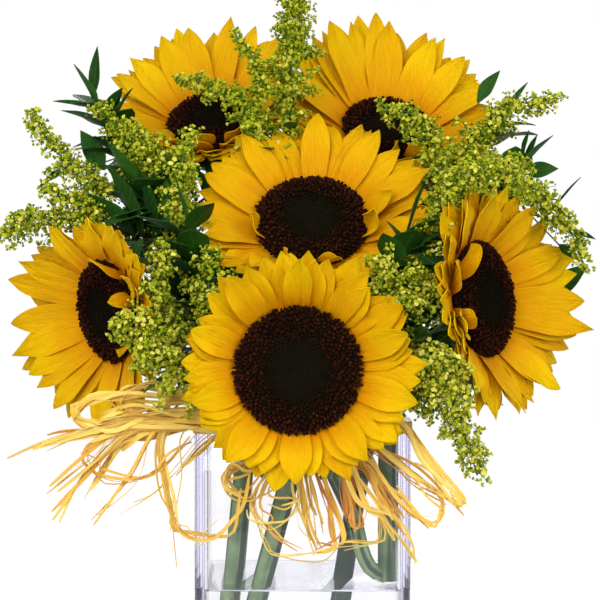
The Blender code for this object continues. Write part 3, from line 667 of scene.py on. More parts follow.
VEINS, given, out = node_group("leaf_veins", ("Count",), ("Mask",))
parts = node(VEINS, "SeparateXYZ", {"Vector": given["Vector"]}).outputs
from_rib = maths(VEINS, "ABSOLUTE", maths(VEINS, "MULTIPLY_ADD", parts["X"], 2.0, -1.0))
slanted = maths(VEINS, "SUBTRACT", times(VEINS, parts["Y"], given["Count"]),
                times(VEINS, from_rib, 1.6))
side_veins = mapped(VEINS, maths(VEINS, "PINGPONG", slanted, 0.5), 0.0, 0.09, 0.6, 0.0)
rib = mapped(VEINS, from_rib, 0.0, 0.10, 1.0, 0.0)
VEINS.links.new(maths(VEINS, "MAXIMUM", side_veins, rib), out["Mask"])


def surface_map(tree):
    return node(tree, "UVMap", uv_map="UVMap").outputs["UV"]


def shade_of(tree):
    return node(tree, "Attribute", attribute_name="shade").outputs["Fac"]


def patches(tree, scale):
    """Masks of broad and fine blotches, at this scale."""
    sizes = {"Vector": object_coordinates(tree), "Scale": scale}
    return node(tree, "Group", sizes, node_tree=PATCHES).outputs


def fibres(tree, across, along):
    """A mask of fibres along the surface map, by how closely they follow each other each way."""
    sizes = {"Vector": surface_map(tree), "Across": across, "Along": along}
    return node(tree, "Group", sizes, node_tree=FIBRES).outputs["Mask"]


def paint(red, green, blue):
    """A colour as it is seen on a screen, from 0 to 255, as the light that a material gives back."""
    shares = (red / 255, green / 255, blue / 255)
    return (*(((c + 0.055) / 1.055) ** 2.4 if c > 10 / 255 else c / 12.92 for c in shares), 1)


def ramp(tree, value, *stops):
    """Colours along a value, from rows of position, red, green and blue."""
    made = node(tree, "ValToRGB", {"Fac": value})
    marks = made.color_ramp.elements
    while len(marks) < len(stops):
        marks.new(0.5)
    for mark, (position, *colour) in zip(marks, stops):
        mark.position, mark.color = position, paint(*colour)
    return made.outputs["Color"]


def mix(tree, share, one, other):
    return node(tree, "Mix", {0: share, 6: one, 7: other}, data_type="RGBA").outputs[2]


def washed(tree, base, mask, share, colour):
    """The base colour with this share of another one over it, where the mask is."""
    return mix(tree, times(tree, mask, share), base, paint(*colour))


def coat(tree, shader, base, height, distance, strength):
    """Gives a material its colour and the relief of its surface."""
    tree.links.new(base, shader.inputs["Base Color"])
    bump(tree, shader, height, distance, strength)


def leafy_material(name, dark, light, blotch, vein, vein_share, roughness=0.5):
    """A leaf: shaded from leaf to leaf, blotched, with lighter veins that stand in the surface."""
    made, tree, shader = finish(name, {"Roughness": roughness, "Specular IOR Level": 0.1})
    spots = patches(tree, 90.0)
    veins = node(tree, "Group", {"Vector": surface_map(tree), "Count": 8.0}, node_tree=VEINS).outputs["Mask"]
    base = ramp(tree, shade_of(tree), (0.0, *dark), (1.0, *light))
    base = washed(tree, base, spots["Mask"], 0.5, blotch)
    base = washed(tree, base, veins, vein_share, vein)
    height = maths(tree, "SUBTRACT", times(tree, spots["Fine"], 0.25), veins)
    coat(tree, shader, base, height, 0.0004, 0.7)
    return made


STALK_GREEN, tree, shader = finish("stalk_green", {"Roughness": 0.55, "Specular IOR Level": 0.12})
spots = patches(tree, 70.0)
ribs = fibres(tree, 40.0, 3.0)
base = mix(tree, spots["Mask"], paint(100, 140, 82), paint(172, 196, 142))
# broad dark streaks at random round the stalk: painted shade that stands in for the shaded sides of the
# stalks
base = mix(tree, mapped(tree, fibres(tree, 5.5, 2.2), 0.38, 0.62, 0.0, 0.9), base, paint(22, 52, 38))
base = mix(tree, shade_of(tree), base, paint(22, 34, 36))
base = washed(tree, base, ribs, 0.45, (36, 66, 48))
height = maths(tree, "ADD", ribs, times(tree, spots["Fine"], 0.4))
coat(tree, shader, base, height, 0.0005, 0.6)

CUT_END, tree, shader = finish("cut_pith", {"Roughness": 0.7})
spots = patches(tree, 400.0)
base = mix(tree, spots["Mask"], paint(196, 204, 158), paint(226, 226, 196))
coat(tree, shader, base, spots["Fine"], 0.0003, 0.6)

SUN_LEAF = leafy_material("sunflower_leaf", (38, 78, 26), (60, 104, 36), (28, 62, 24), (120, 150, 80), 0.55)

ROD = rod_form(STALK_SIDES, 56)
SHORT_ROD = rod_form(STALK_SIDES, 16)
# a row of bracts: how far in and how low they start, their lift and bends in degrees, and their sizes
Row = namedtuple("Row", "inward below lift bends lengths half")
FIRST_ROW = Row(inward=0.004, below=0.0035, lift=-14, bends=(-30, -5), lengths=(0.021, 0.027), half=0.0068)
SECOND_ROW = Row(inward=0.002, below=0.0022, lift=-4, bends=(-22, 0), lengths=(0.017, 0.022), half=0.0066)
BRACT_SHAPE = (0.75, 0.25, 0.8)  # as outline takes it, before the half width
BRACT_FORM = (0.25, 0.2)  # its fold and its waves
BROAD_SHAPE = (0.1, 0.38, 0.75)
BROAD_FORM = (0.22, 0.12)
BROAD_HALF = 0.27  # beside its length
BRACT = grid_form(6, 8, 1.2)
BROAD_LEAF = grid_form(12, 20, 1.15)
HAIR = take_form(standing("cone", 3, radius1=0.06, radius2=0))


def hairs(gather, rng, line, across, radius):
    """Short stiff hairs all over a stalk."""
    where = rng.uniform(HAIRS_FROM, 1, HAIR_COUNT)

    def at(rows):
        return sample(rows, np.linspace(0, 1, len(rows)), where)

    ahead = ahead_of(line)
    turn = rng.uniform(0, math.tau, HAIR_COUNT)[:, None]
    out = unit(at(across) * np.cos(turn) + at(np.cross(across, ahead)) * np.sin(turn))
    axes = out + 0.35 * at(ahead) + rng.normal(0, 0.2, (HAIR_COUNT, 3))
    sizes = rng.uniform(*HAIR_LENGTHS, HAIR_COUNT)
    places = stand_on(at(line) + out * (radius * 0.98), axes, sizes, turn[:, 0])
    gather.put(HAIR, places=places, shade=0.0)


def put_fluted(gather, rod, line, across, radius, shade):
    """Adds a round stalk with shallow ribs."""
    turn = np.arctan2(rod.points[:, 1], rod.points[:, 0])
    shaped = rod.points.copy()
    shaped[:, :2] *= (1 + RIB_DEPTH * np.cos(RIB_COUNT * turn))[:, None]
    gather.put(rod, points=lay(rod._replace(points=shaped), line, across, radius), shade=shade)


def stand(head):
    """The low end of a stalk, lifted so that its cut end clears the vase's floor."""
    lean = (head.rim - head.foot).normalized()
    return head.foot + Vector((0, 0, GAP + STALK * lean.xy.length))


def spun(name, profile, steps, place):
    """A profile of (distance from the axis, height) pairs, spun round and closed, set on the head."""
    spin = add_primitive("circle", name, vertices=3, radius=0.01)
    mesh = spin.data
    mesh.clear_geometry()
    mesh.from_pydata([(r, 0, z) for r, z in profile], [(k, k + 1) for k in range(len(profile) - 1)], [])
    edit(spin, "VERT", any_of_them)
    bpy.ops.mesh.spin(steps=steps, angle=math.tau, center=(0, 0, 0), axis=(0, 0, 1))
    bpy.ops.mesh.select_all(action="SELECT")
    bpy.ops.mesh.remove_doubles(threshold=1e-6)
    bpy.ops.mesh.normals_make_consistent(inside=False)
    close_edit()
    if not mesh.uv_layers:
        mesh.uv_layers.new(name="UVMap")
    mesh.transform(place)
    return spin


def make_stalk(name, head, number):
    place = head_place(head)
    facing = place.to_3x3() @ Vector((0, 0, 1))
    draw, own = random.Random(name), random.Random(name + "_bracts")
    rng = np.random.default_rng(100 + number)
    surface = solid_surface(f"stem_{name}")
    radius = head.disc
    green, blades = Gather(), Gather()

    # the stalk, and the short stub that one of them forks into
    corners = [head.rim, *head.rise, *(head.centre + facing * (CUP_TOP - below) for below in (NECK, SEAT))]
    line = even([stand(head), *smooth_line(corners, 8)], STALK_STEPS)
    across = carried(line)
    taper = np.interp(np.linspace(0, 1, STALK_STEPS), *STALK_TAPER) * STALK
    put_fluted(green, ROD, line, across, taper, head.deep)
    hairs(green, rng, line, across, STALK * 0.93)
    if head.shoot:
        stub = even(smooth_line(head.shoot, 6), STUB_STEPS)
        put_fluted(green, SHORT_ROD, stub, carried(stub), STALK * STUB, 0.2)

    # the cup under the flower, narrowing from the disc's edge to the stalk
    edge = radius + RING_WIDTH
    cup = ((0.0, 0.0), (edge - 0.001, 0.0), (edge + 0.0005, 0.0012), (edge - 0.001, 0.005),
           (radius * 0.82, 0.0095), (radius * 0.6, 0.013), (radius * 0.38, 0.0158), (STALK * 1.3, 0.019),
           (STALK * 0.95, 0.024), (0.0, 0.024))
    green.put(take_form(spun("cup", [(r, CUP_TOP - below) for r, below in cup], 40, place)), shade=0.2)

    # the bracts that the solid has, and a second row between them
    def bract_course(row, angle, rolls):
        return ray_course(place, angle, radius - row.inward, CUP_TOP - row.below, row.lift,
                          rolls.uniform(*row.bends), 0, 0, length=rolls.uniform(*row.lengths))

    def bract(row, course):
        put_leaf(blades, own, BRACT, course, outline(*BRACT_SHAPE, row.half), *BRACT_FORM)

    for k in range(BRACT_COUNT):
        angle = math.tau * (k + 0.25 + draw.uniform(-0.12, 0.12)) / BRACT_COUNT
        course = bract_course(FIRST_ROW, angle, draw)
        if fitting(surface, [course]):
            bract(FIRST_ROW, course)
        bract(SECOND_ROW, bract_course(SECOND_ROW, angle + math.tau / 2 / BRACT_COUNT, own))

    # broad leaves, turned as the solid has them
    coarse = [stand(head), *smooth_line(corners, 2)]
    for share, bearing, length in head.leaves:
        base = coarse[max(1, round(share * (len(coarse) - 1)))]
        outs = [polar(1.0, bearing + turn, 0.5).normalized() for turn in TURNS]
        course = fitting(surface, [leaf_course(base, out, length, 0.5) for out in outs])
        if course:
            put_leaf(blades, own, BROAD_LEAF, course, outline(*BROAD_SHAPE, BROAD_HALF * length), *BROAD_FORM)

    stalk = green.piece(f"stalk_{name}", STALK_GREEN, CUT_END, SUN_LEAF)
    tidy_surface(stalk)
    low = min(v.co.z for v in stalk.data.vertices)
    for face in stalk.data.polygons:
        if face.normal.z < -0.8 and face.center.z < low + 0.002:
            face.material_index = 1
    leaves = blades.piece("blades", STALK_GREEN, CUT_END, SUN_LEAF)
    tidy_surface(leaves, BLADE_THICK)
    join(stalk, leaves)
    settle(stalk, "stem", f"stem_{name}", smooth=50)


for number, (name, head) in enumerate(HEADS.items()):
    make_stalk(name, head, number)


# ================================================================ seed discs
# The dark middle of each flower: a low dome packed with hundreds of florets in spirals, tight and
# black-green in the middle, open and reddish brown towards the petals.
DISC_DOME = 0.0055
DOME_SHAPE = ((0.0, 0.42), (0.2, 0.50), (0.35, 0.62), (0.55, 0.76), (0.72, 0.80), (0.86, 0.62), (0.96, 0.25),
              (1.0, 0.0))  # from the middle to the rim, and how much of its full height the dome has there
GOLDEN_TURN = math.radians(137.508)
FLORET_SPACING = 0.0018
# the florets from 0 in the middle of the disc to 1 at its rim: places, and what they have there
FLORET_LEAN = (0, 0.3, 0.6, 0.8, 0.92, 1.0), (0.0, -0.12, -0.02, 0.25, 0.8, 1.1)  # outwards, in radians
FLORET_THICK = (0, 0.5, 1), (0.36, 0.42, 0.44)  # beside their spacing
FLORET_HEIGHT = (0, 0.35, 0.6, 0.85, 1), (0.0008, 0.0010, 0.0019, 0.0024, 0.0022)
FLORET_SHADE = (0, 0.4, 0.62, 0.85, 1), (0.05, 0.16, 0.46, 0.58, 0.52)
OPENED_SHARE = (0.45, 0.62, 0.9, 0.96), (0.0, 0.5, 0.55, 0.0)
FRINGE = 170
FRINGE_LEAN = (0.75, 1.45)
FRINGE_THICK, FRINGE_TALL = (0.0006, 0.0010), (0.0018, 0.0032)

SEEDS, tree, shader = finish("disc_florets", {"Roughness": 0.9, "Specular IOR Level": 0.0})
spots = patches(tree, 260.0)
base = ramp(tree, shade_of(tree), (0.0, 15, 19, 10), (0.35, 26, 21, 13),
            (0.55, 50, 24, 16), (0.8, 92, 44, 22), (1.0, 150, 88, 38))
coat(tree, shader, washed(tree, base, spots["Mask"], 0.6, (26, 15, 11)), spots["Fine"], 0.0003, 0.7)


def facing_down(below=math.inf):
    """A test for level faces that look down and lie below this height."""
    return lambda face: face.normal.z < -0.9 and face.calc_center_median().z < below


bud = standing("cylinder", 5, radius=1)
edit(bud, "FACE", facing_up())
bpy.ops.transform.resize(value=(1.15, 1.15, 1))
bpy.ops.mesh.inset(thickness=0.45)
bpy.ops.transform.translate(value=(0, 0, 0.4))
bpy.ops.mesh.merge(type="CENTER")
edit(bud, "FACE", facing_down())
bpy.ops.mesh.delete(type="FACE")
close_edit()
BUD = take_form(bud)

opened = standing("cylinder", 5, radius=0.7)
edit(opened, "FACE", facing_up())
bpy.ops.mesh.inset(thickness=0.0, depth=0.0)
bpy.ops.transform.translate(value=(0, 0, 0.45))
bpy.ops.transform.resize(value=(1.9, 1.9, 1))
bpy.ops.mesh.inset(thickness=0.65)
bpy.ops.transform.translate(value=(0, 0, -0.55))
bpy.ops.mesh.merge(type="CENTER")
edit(opened, "FACE", facing_down(0.1))
bpy.ops.mesh.delete(type="FACE")
close_edit()
OPENED = take_form(opened)


def round_axis(radius, turn, height):
    return np.stack([radius * np.cos(turn), radius * np.sin(turn), height], axis=1)


def make_disc(name, head, number):
    place = head_place(head)
    rng = np.random.default_rng(200 + number)
    rim = head.disc - GAP
    gather = Gather()

    def plant(form, local, which=slice(None), **looks):
        gather.put(form, places=(np.array(place)[None] @ local)[which], **looks)

    profile = [(r * rim, h * DISC_DOME) for r, h in DOME_SHAPE] + [(rim, -RING_THICK), (0.0, -RING_THICK)]
    gather.put(take_form(spun("dome", profile, 48, place)), shade=0.1)

    count = int((head.disc / FLORET_SPACING) ** 2 * 2.2)
    k = np.arange(count) + 0.5
    out = np.sqrt(k / count)
    turn = k * GOLDEN_TURN
    height = np.interp(out, *zip(*DOME_SHAPE)) * DISC_DOME
    slope = np.interp(out, *FLORET_LEAN)
    spots = round_axis(out * rim, turn, height - 0.0005)
    spots += rng.normal(0, 0.00012, spots.shape)
    lean = slope + rng.normal(0, 0.10, count) + np.where(out > 0.55, rng.normal(0, 0.16, count), 0)
    axes = round_axis(np.sin(lean), turn, np.cos(lean))
    axes += rng.normal(0, 0.06, axes.shape)
    thick = FLORET_SPACING * np.interp(out, *FLORET_THICK) * rng.uniform(0.85, 1.12, count)
    tall = np.interp(out, *FLORET_HEIGHT) * rng.uniform(0.75, 1.2, count)
    local = stand_on(spots, axes, np.stack([thick, thick, tall], axis=1), rng.uniform(0, 6, count))
    wild = rng.random(count) < np.interp(out, *OPENED_SHARE)
    shade = np.interp(out, *FLORET_SHADE) + rng.normal(0, 0.07, count)
    plant(BUD, local, ~wild, shade=shade[~wild], tinted=0.16)
    plant(OPENED, local, wild, shade=shade[wild], tinted=0.26)

    # the outermost florets lean over the feet of the petals, in a ragged fringe
    turn = np.arange(FRINGE) * math.tau / FRINGE + rng.normal(0, 0.02, FRINGE)
    lean = rng.uniform(*FRINGE_LEAN, FRINGE)
    spots = round_axis(rim - rng.uniform(0.0002, 0.0016, FRINGE), turn, np.full(FRINGE, 0.0002))
    axes = round_axis(np.sin(lean), turn, np.cos(lean))
    thick, tall = rng.uniform(*FRINGE_THICK, FRINGE), rng.uniform(*FRINGE_TALL, FRINGE)
    axes += rng.normal(0, 0.12, axes.shape)
    local = stand_on(spots, axes, np.stack([thick, thick, tall], axis=1), rng.uniform(0, 6, FRINGE))
    plant(BUD, local, shade=rng.normal(0.46, 0.1, FRINGE), tinted=0.2)
    settle(gather.piece(f"seed_disc_{name}", SEEDS), "disc", f"disc_{name}", smooth=45)


for number, (name, head) in enumerate(HEADS.items()):
    make_disc(name, head, number)


# ================================================================ ray petals
# The golden petals: thin, ribbed lengthwise, cupped round their middle, waved at the edges and orange
# towards the foot, partly their own colour and partly painted shade near the disc. They grow in layers from a
# low ring round the disc, and overlap.
PETAL_LAYERS = ((11, -0.0038, -4.0, 0.0), (10, -0.0022, 8.0, 0.5))  # count, height, tilt, offset in steps
PETAL_HALF = (0.0090, 0.0104)
FILL_HALF = (0.0078, 0.0092)  # the ones in between
SINGLE_HALF = (0.0084, 0.0098)  # the ones that stand out
YOUNG_HALF = (0.0060, 0.0080)
YOUNG_LENGTH = (0.42, 0.62)  # a curled one's, beside a grown one's
YOUNG_FOLD = (0.3, 0.7)
SHORTER = (1.0, 0.92, 0.84, 0.76, 0.68, 0.6)
PETAL_THICK = 0.00045
FILL_GAP = math.radians(9.0)  # how far apart two petals' middles may be
FOOT_WIDTH = 0.74  # a petal's width at its foot beside its widest, which lies this far along it
WIDEST = 0.52
TIP_POWER = 1.95
BLUNT = (0.75, 1.20)  # from a rounded tip to a sharp one
NARROWER = 0.90  # a petal's flat width beside that of the solid's, whose ribs spread it
FOOT = 0.0030  # how far a petal's foot reaches in under the disc's edge
PETAL_FOLD = 0.17

PETAL_GOLD, tree, shader = finish("petal_gold", {"Roughness": 0.6, "Specular IOR Level": 0.07})
along = node(tree, "SeparateXYZ", {"Vector": surface_map(tree)}).outputs["Y"]
streak, hairline = fibres(tree, 24.0, 1.6), fibres(tree, 90.0, 3.0)
# deeper orange towards the foot: partly the petals' own colour, partly painted shade where they crowd round
# the disc
base = ramp(tree, along, (0.0, 200, 96, 0), (0.24, 222, 144, 0), (0.55, 236, 186, 0),
            (1.0, 240, 204, 0))
base = washed(tree, base, streak, 0.45, (224, 158, 0))
# each petal's shade darkens it towards orange: partly a tone that differs at random from petal to petal,
# partly painted shade on heads that lie in shade
base = mix(tree, mapped(tree, shade_of(tree), 0.1, 1.0, 0.0, 0.6), base, paint(214, 146, 0))
base = washed(tree, base, patches(tree, 60.0)["Mask"], 0.15, (246, 214, 10))
height = maths(tree, "ADD", times(tree, streak, 0.8), times(tree, hairline, 0.3))
coat(tree, shader, base, height, 0.0006, 0.8)

PETAL = grid_form(8, 12, 1.3)


def petal_outline(half, blunt):
    """The half width of a petal: broad from the foot on, and drawn in late to its point."""

    def width(s):
        growing = FOOT_WIDTH + (1 - FOOT_WIDTH) * np.sin(math.pi / 2 * np.minimum(s / WIDEST, 1))
        drawn_in = np.clip((s - WIDEST) / (1 - WIDEST), 0, 1)
        return half * np.where(s <= WIDEST, growing, (1 - drawn_in ** TIP_POWER) ** blunt)

    return width


def rooted(line, across):
    """A petal's course with its foot moved back, in under the disc's edge."""
    first = line[:1] - unit(line[1:2] - line[:1]) * FOOT
    return np.vstack([first, line]), np.vstack([across[:1], across])


def by_bearing(values, angle):
    """A value between those for right, top, left and bottom, at an angle from the right."""
    right, top, left, bottom = values
    x, y = math.cos(angle), math.sin(angle)
    return (right if x > 0 else left) * x ** 2 + (top if y > 0 else bottom) * y ** 2


def petal_relief(draw, fold):
    """A petal's surface: cupped, with three soft ribs, and waved at both edges towards the tip."""
    phase = [draw.uniform(0, math.tau) for _ in range(3)]
    waves = [draw.uniform(0.08, 0.30) for _ in range(2)]
    ribs = draw.uniform(0.045, 0.075)

    def relief(s, x, half):
        wide = half + 0.0012
        cupped = fold * wide * (0.45 * np.abs(x) + 0.55 * x * x) * (1 - 0.35 * s)
        ribbed = ribs * wide * np.cos(math.tau * 1.6 * x + 0.8 * math.sin(phase[0])) * (1 - 0.4 * np.abs(x))
        left = waves[0] * np.sin(8.0 * s + phase[1])
        right = waves[1] * np.sin(9.5 * s + phase[2])
        return cupped + ribbed + wide * x * x * np.where(x > 0, right, left) * s

    return relief


def make_petals(name, head):
    place = head_place(head)
    draw, own = random.Random(name), random.Random(name + "_petals")
    surface = solid_surface(f"petals_{name}")
    radius = head.disc
    gather, found = Gather(), []

    def grow(course, half, fold=None, tone=head.tone):
        width = petal_outline(half, own.uniform(*BLUNT))
        relief = petal_relief(own, own.uniform(*fold) if fold else PETAL_FOLD)
        # each petal's shade is drawn at random above its head's least painted shade, so the petals of a head
        # that lies in shade are painted darker
        gather.put(PETAL, points=lay(PETAL, *rooted(*course), width, relief), shade=own.uniform(tone, 1))

    # the petals that the solid has, with the draws that follow those for its bracts
    for _ in range(BRACT_COUNT * 3):
        draw.random()
    for count, height, tilt, offset in PETAL_LAYERS:
        for k in range(count):
            angle = math.tau * (k + offset + draw.uniform(-0.10, 0.10)) / count
            lift = head.cup + tilt + by_bearing(head.curl, angle) + draw.uniform(-4, 4)
            length = head.petal * by_bearing(head.reach, angle) * draw.uniform(0.93, 1.06)
            half = draw.uniform(*PETAL_HALF)
            turns = [draw.uniform(-t, t) for t in (7, 14)]
            start = (place, angle, radius + 0.0012, height, lift, draw.uniform(-26, -2), *turns)
            fit = best_fit(surface, [(ray_course(*start, length=length * shorter + 0.002)[0][-1], shorter)
                                     for shorter in SHORTER])
            if fit:
                longer = by_bearing(head.drawn, angle)
                grow(ray_course(*start, length=length * fit * longer + 0.002), half * NARROWER)
                found.append((angle % math.tau, lift, fit * longer))

    # more petals in between, and one behind every gap between two middles
    found.sort()
    for (one, lift, shorter), (other, next_lift, next_shorter) in zip(found, found[1:] + found[:1]):
        gap = (other - one) % math.tau
        between = max(1, round(gap / FILL_GAP) - 1) if gap > FILL_GAP else 0
        fills = [((k + 1) / (between + 1) + own.uniform(-0.1, 0.1), 0.0) for k in range(between)]
        for share, drop in [*fills, (own.random(), 3.5)]:
            angle = one + gap * share
            reach = shorter + (next_shorter - shorter) * share
            grow(ray_course(
                place, angle, radius + 0.0006, -0.0042 - 0.0001 * drop,
                lift + (next_lift - lift) * share - drop - own.uniform(0, 5),
                own.uniform(-24, -4), own.uniform(-7, 7), own.uniform(-14, 14),
                length=head.petal * by_bearing(head.reach, angle) * reach * own.uniform(0.90, 1.05),
            ), own.uniform(*FILL_HALF))

    # single petals that stand out of the rest, more cupped than they are
    for bearing, reach in head.more:
        grow(ray_course(place, math.radians(bearing), radius + 0.0006, -0.0030, own.uniform(37, 43), -12,
                        own.uniform(-4, 4), own.uniform(-12, 12), length=reach * 0.001),
             own.uniform(*SINGLE_HALF))

    # young petals that still curl in over the disc
    for bearing in head.inner:
        grow(ray_course(place, math.radians(bearing + own.uniform(-5, 5)), radius + 0.0004, -0.0012,
                        own.uniform(50, 66), own.uniform(-15, 35), own.uniform(-30, 30), own.uniform(-80, 80),
                        length=head.petal * own.uniform(*YOUNG_LENGTH)),
             own.uniform(*YOUNG_HALF), fold=YOUNG_FOLD, tone=0.6)

    petals = gather.piece(f"ray_petals_{name}", PETAL_GOLD)
    tidy_surface(petals, PETAL_THICK)
    inner = radius + GAP
    ring = [(inner, -0.0024), (radius + 0.0018, -0.0032), (radius + RING_WIDTH * 0.8, -RING_THICK * 0.85),
            (radius + RING_WIDTH * 0.6, -RING_THICK), (inner, -RING_THICK), (inner, -0.0024)]
    collar = spun("collar", ring, 48, place)
    wear(collar, PETAL_GOLD)
    join(petals, collar)
    settle(petals, "petals", f"petals_{name}")


for name, head in HEADS.items():
    make_petals(name, head)


# ================================================================ goldenrod
# Arching plumes on thin green stems. Each plume has short side twigs all the way up, and every twig
# is crowded with florets the size of a match head, lime green with yellow tips.
THIN_STEM = 0.0016
TUCK_END = 0.0370
TUCK_HEIGHT = 0.164
GOLDEN_ANGLE = 137.5
BRANCH_STEP = 0.016
TWIG_STEP = 0.0042
TWIG_RADII = (0.00045, 0.0002)
SPINE_RADII = (0.0011, 0.0004)
TWIG_LENGTH, TWIG_SHORTER = 0.030, 0.016  # the first twig's length, and how much shorter the last one is
FINE_LENGTH, FINE_SHORTER = 0.031, 0.021  # the same for the finer ones in between
LOW_TWIG_LENGTHS = (0.014, 0.030)
LOW_TWIGS_FROM, ROD_LEAVES_FROM = 0.66, 0.42  # as shares of the stem
ROD_LEAVES = 9
ROD_LEAF_LENGTHS = (0.022, 0.036)
ROD_LEAF_HALF = 0.13  # beside its length
TWIG_DROOP = 0.28
FLORETS_A_METRE = 2150
FLORETS_ON_SPINE = 1900
FLORET_SPREAD = 0.0046
FLORET_SIZE = 0.0034
STAR_SHARE = 0.42
LOW_TWIGS = 13

# each stem: its bearing in the vase's neck, its rise, its plumes, how far its finer twigs reach beside the
# others', how many of them there are, how yellow its florets are, and how many twigs stand below the plume
Spray = namedtuple("Spray", "bearing rise reach dense ripe plumes low", defaults=(LOW_TWIGS,))
GOLDENROD = {
    "outer_left": Spray(
        bearing=168, rise=(mm(-66, 16, 260), mm(-88, 12, 305)), reach=0.8, dense=1.5, ripe=0.4, low=4,
        plumes=((mm(-112, -4, 336), mm(-131, -16, 346), mm(-152, -20, 366), mm(-163, -20, 385)),),
    ),
    "big_left": Spray(
        bearing=162, rise=(mm(-58, 24, 270), mm(-70, 10, 310)), reach=1.0, dense=1.5, ripe=0.42, low=4,
        plumes=(
            (mm(-82, -10, 335), mm(-92, -15, 352), mm(-106, -16, 369), mm(-124, -15, 390)),
            (mm(-64, -14, 332), mm(-76, -22, 352), mm(-92, -24, 366), mm(-106, -22, 378)),
        ),
    ),
    "far_left": Spray(
        bearing=175, rise=(mm(-72, 8, 255), mm(-98, 6, 300)), reach=0.8, dense=1.5, ripe=0.4, low=4,
        plumes=(
            (mm(-118, -8, 320), mm(-134, -18, 331), mm(-157, -24, 340)),
            (mm(-118, -8, 320), mm(-148, -8, 321), mm(-168, -14, 321), mm(-179, -20, 310)),
        ),
    ),
    "inner_left": Spray(
        bearing=189, rise=(mm(-60, -32, 240), mm(-66, -36, 285)), reach=0.9, dense=1.4, ripe=0.46,
        plumes=((mm(-71, -34, 312), mm(-74, -32, 344), mm(-66, -28, 374)),),
    ),
    "tuft_left": Spray(
        bearing=231, rise=(mm(-44, -56, 212), mm(-60, -70, 222)), reach=1.0, dense=1.3, ripe=0.5,
        plumes=(
            (mm(-70, -81, 232), mm(-82, -95, 241), mm(-94, -106, 244)),
            (mm(-71, -82, 234), mm(-80, -94, 254), mm(-94, -102, 263), mm(-107, -106, 255)),
        ),
    ),
    "low_left": Spray(
        bearing=238, rise=(mm(-46, -56, 222), mm(-70, -64, 240)), reach=1.0, dense=1.25, ripe=0.48,
        plumes=((mm(-82, -70, 254), mm(-84, -74, 278), mm(-80, -76, 303)),),
    ),
    "near_left": Spray(
        bearing=245, rise=(mm(-34, -52, 222), mm(-50, -56, 240)), reach=1.0, dense=1.25, ripe=0.46,
        plumes=((mm(-57, -58, 256), mm(-55, -61, 280), mm(-56, -63, 302)),),
    ),
    "top": Spray(
        bearing=86, rise=(mm(-3, 44, 290), mm(-9, 30, 350)), reach=1.15, dense=1.9, ripe=0.4,
        plumes=(
            (mm(-11, 15, 388), mm(-7, 13, 425), mm(-7, 14, 465)),
            (mm(-8, 14, 416), mm(-4, 14, 436), mm(-1, 15, 460)),
        ),
    ),
    "top_left": Spray(
        bearing=98, rise=(mm(-18, 46, 280), mm(-24, 26, 335)), reach=0.6, dense=1.4, ripe=0.38,
        plumes=(
            (mm(-26, 10, 372), mm(-29, 4, 392), mm(-27, 6, 414), mm(-43, 8, 438)),
            (mm(-26, 10, 372), mm(-40, 2, 395), mm(-58, 6, 404), mm(-78, 10, 407)),
        ),
    ),
    "over_right": Spray(
        bearing=-16, rise=(mm(62, 0, 260), mm(74, 4, 320)), reach=0.95, dense=1.2, ripe=0.44,
        plumes=(
            (mm(80, 2, 345), mm(80, 0, 368), mm(66, 2, 386), mm(48, 4, 388)),
            (mm(80, 2, 345), mm(98, -10, 350), mm(118, -13, 354), mm(138, -14, 352)),
        ),
    ),
    "upper_right": Spray(
        bearing=-4, rise=(mm(68, 14, 260), mm(86, 22, 320)), reach=1.0, dense=1.45, ripe=0.44,
        plumes=((mm(96, 26, 350), mm(108, 22, 374), mm(130, 12, 391), mm(156, 6, 396)),),
    ),
    "inner_right": Spray(
        bearing=-48, rise=(mm(52, -44, 240), mm(64, -46, 280)), reach=0.9, dense=1.2, ripe=0.46,
        plumes=((mm(77, -53, 314), mm(88, -64, 341), mm(112, -68, 348), mm(139, -64, 335)),),
    ),
    "far_right": Spray(
        bearing=-10, rise=(mm(74, 8, 250), mm(98, 14, 300)), reach=0.75, dense=1.4, ripe=0.42,
        plumes=((mm(118, 6, 328), mm(138, -4, 338), mm(158, -10, 322), mm(172, -10, 291)),),
    ),
    "near_right": Spray(
        bearing=-64, rise=(mm(38, -56, 222), mm(47, -62, 240)), reach=1.3, dense=1.6, ripe=0.5, low=4,
        plumes=(
            (mm(50, -66, 256), mm(50, -71, 276), mm(44, -74, 297)),
            (mm(50, -66, 256), mm(62, -73, 270), mm(76, -76, 283)),
            (mm(49, -68, 262), mm(56, -76, 278), mm(66, -80, 290)),
        ),
    ),
    "low_right": Spray(
        bearing=-56, rise=(mm(50, -60, 226), mm(62, -74, 246)), reach=1.1, dense=1.65, ripe=0.54, low=1,
        plumes=(
            (mm(73, -84, 250), mm(80, -92, 231), mm(90, -90, 203), mm(101, -80, 171)),
            (mm(70, -80, 248), mm(71, -84, 228), mm(66, -84, 210)),
        ),
    ),
    "back_left": Spray(
        bearing=124, rise=(mm(-58, 60, 260), mm(-74, 84, 300)), reach=0.9, dense=1.0, ripe=0.44,
        plumes=((mm(-80, 92, 325), mm(-88, 98, 352), mm(-96, 100, 385)),),
    ),
    "back_right": Spray(
        bearing=52, rise=(mm(58, 58, 260), mm(72, 84, 300)), reach=0.9, dense=1.0, ripe=0.44,
        plumes=((mm(78, 92, 325), mm(88, 98, 352), mm(98, 98, 382)),),
    ),
}

FLORETS, tree, shader = finish("goldenrod_florets", {"Roughness": 0.7, "Specular IOR Level": 0.1})
spots = patches(tree, 300.0)
base = ramp(tree, shade_of(tree), (0.0, 58, 84, 6), (0.3, 110, 138, 12),
            (0.6, 166, 176, 28), (0.85, 206, 200, 56), (1.0, 226, 218, 96))
coat(tree, shader, washed(tree, base, spots["Mask"], 0.3, (98, 126, 10)), spots["Fine"], 0.0003, 0.6)

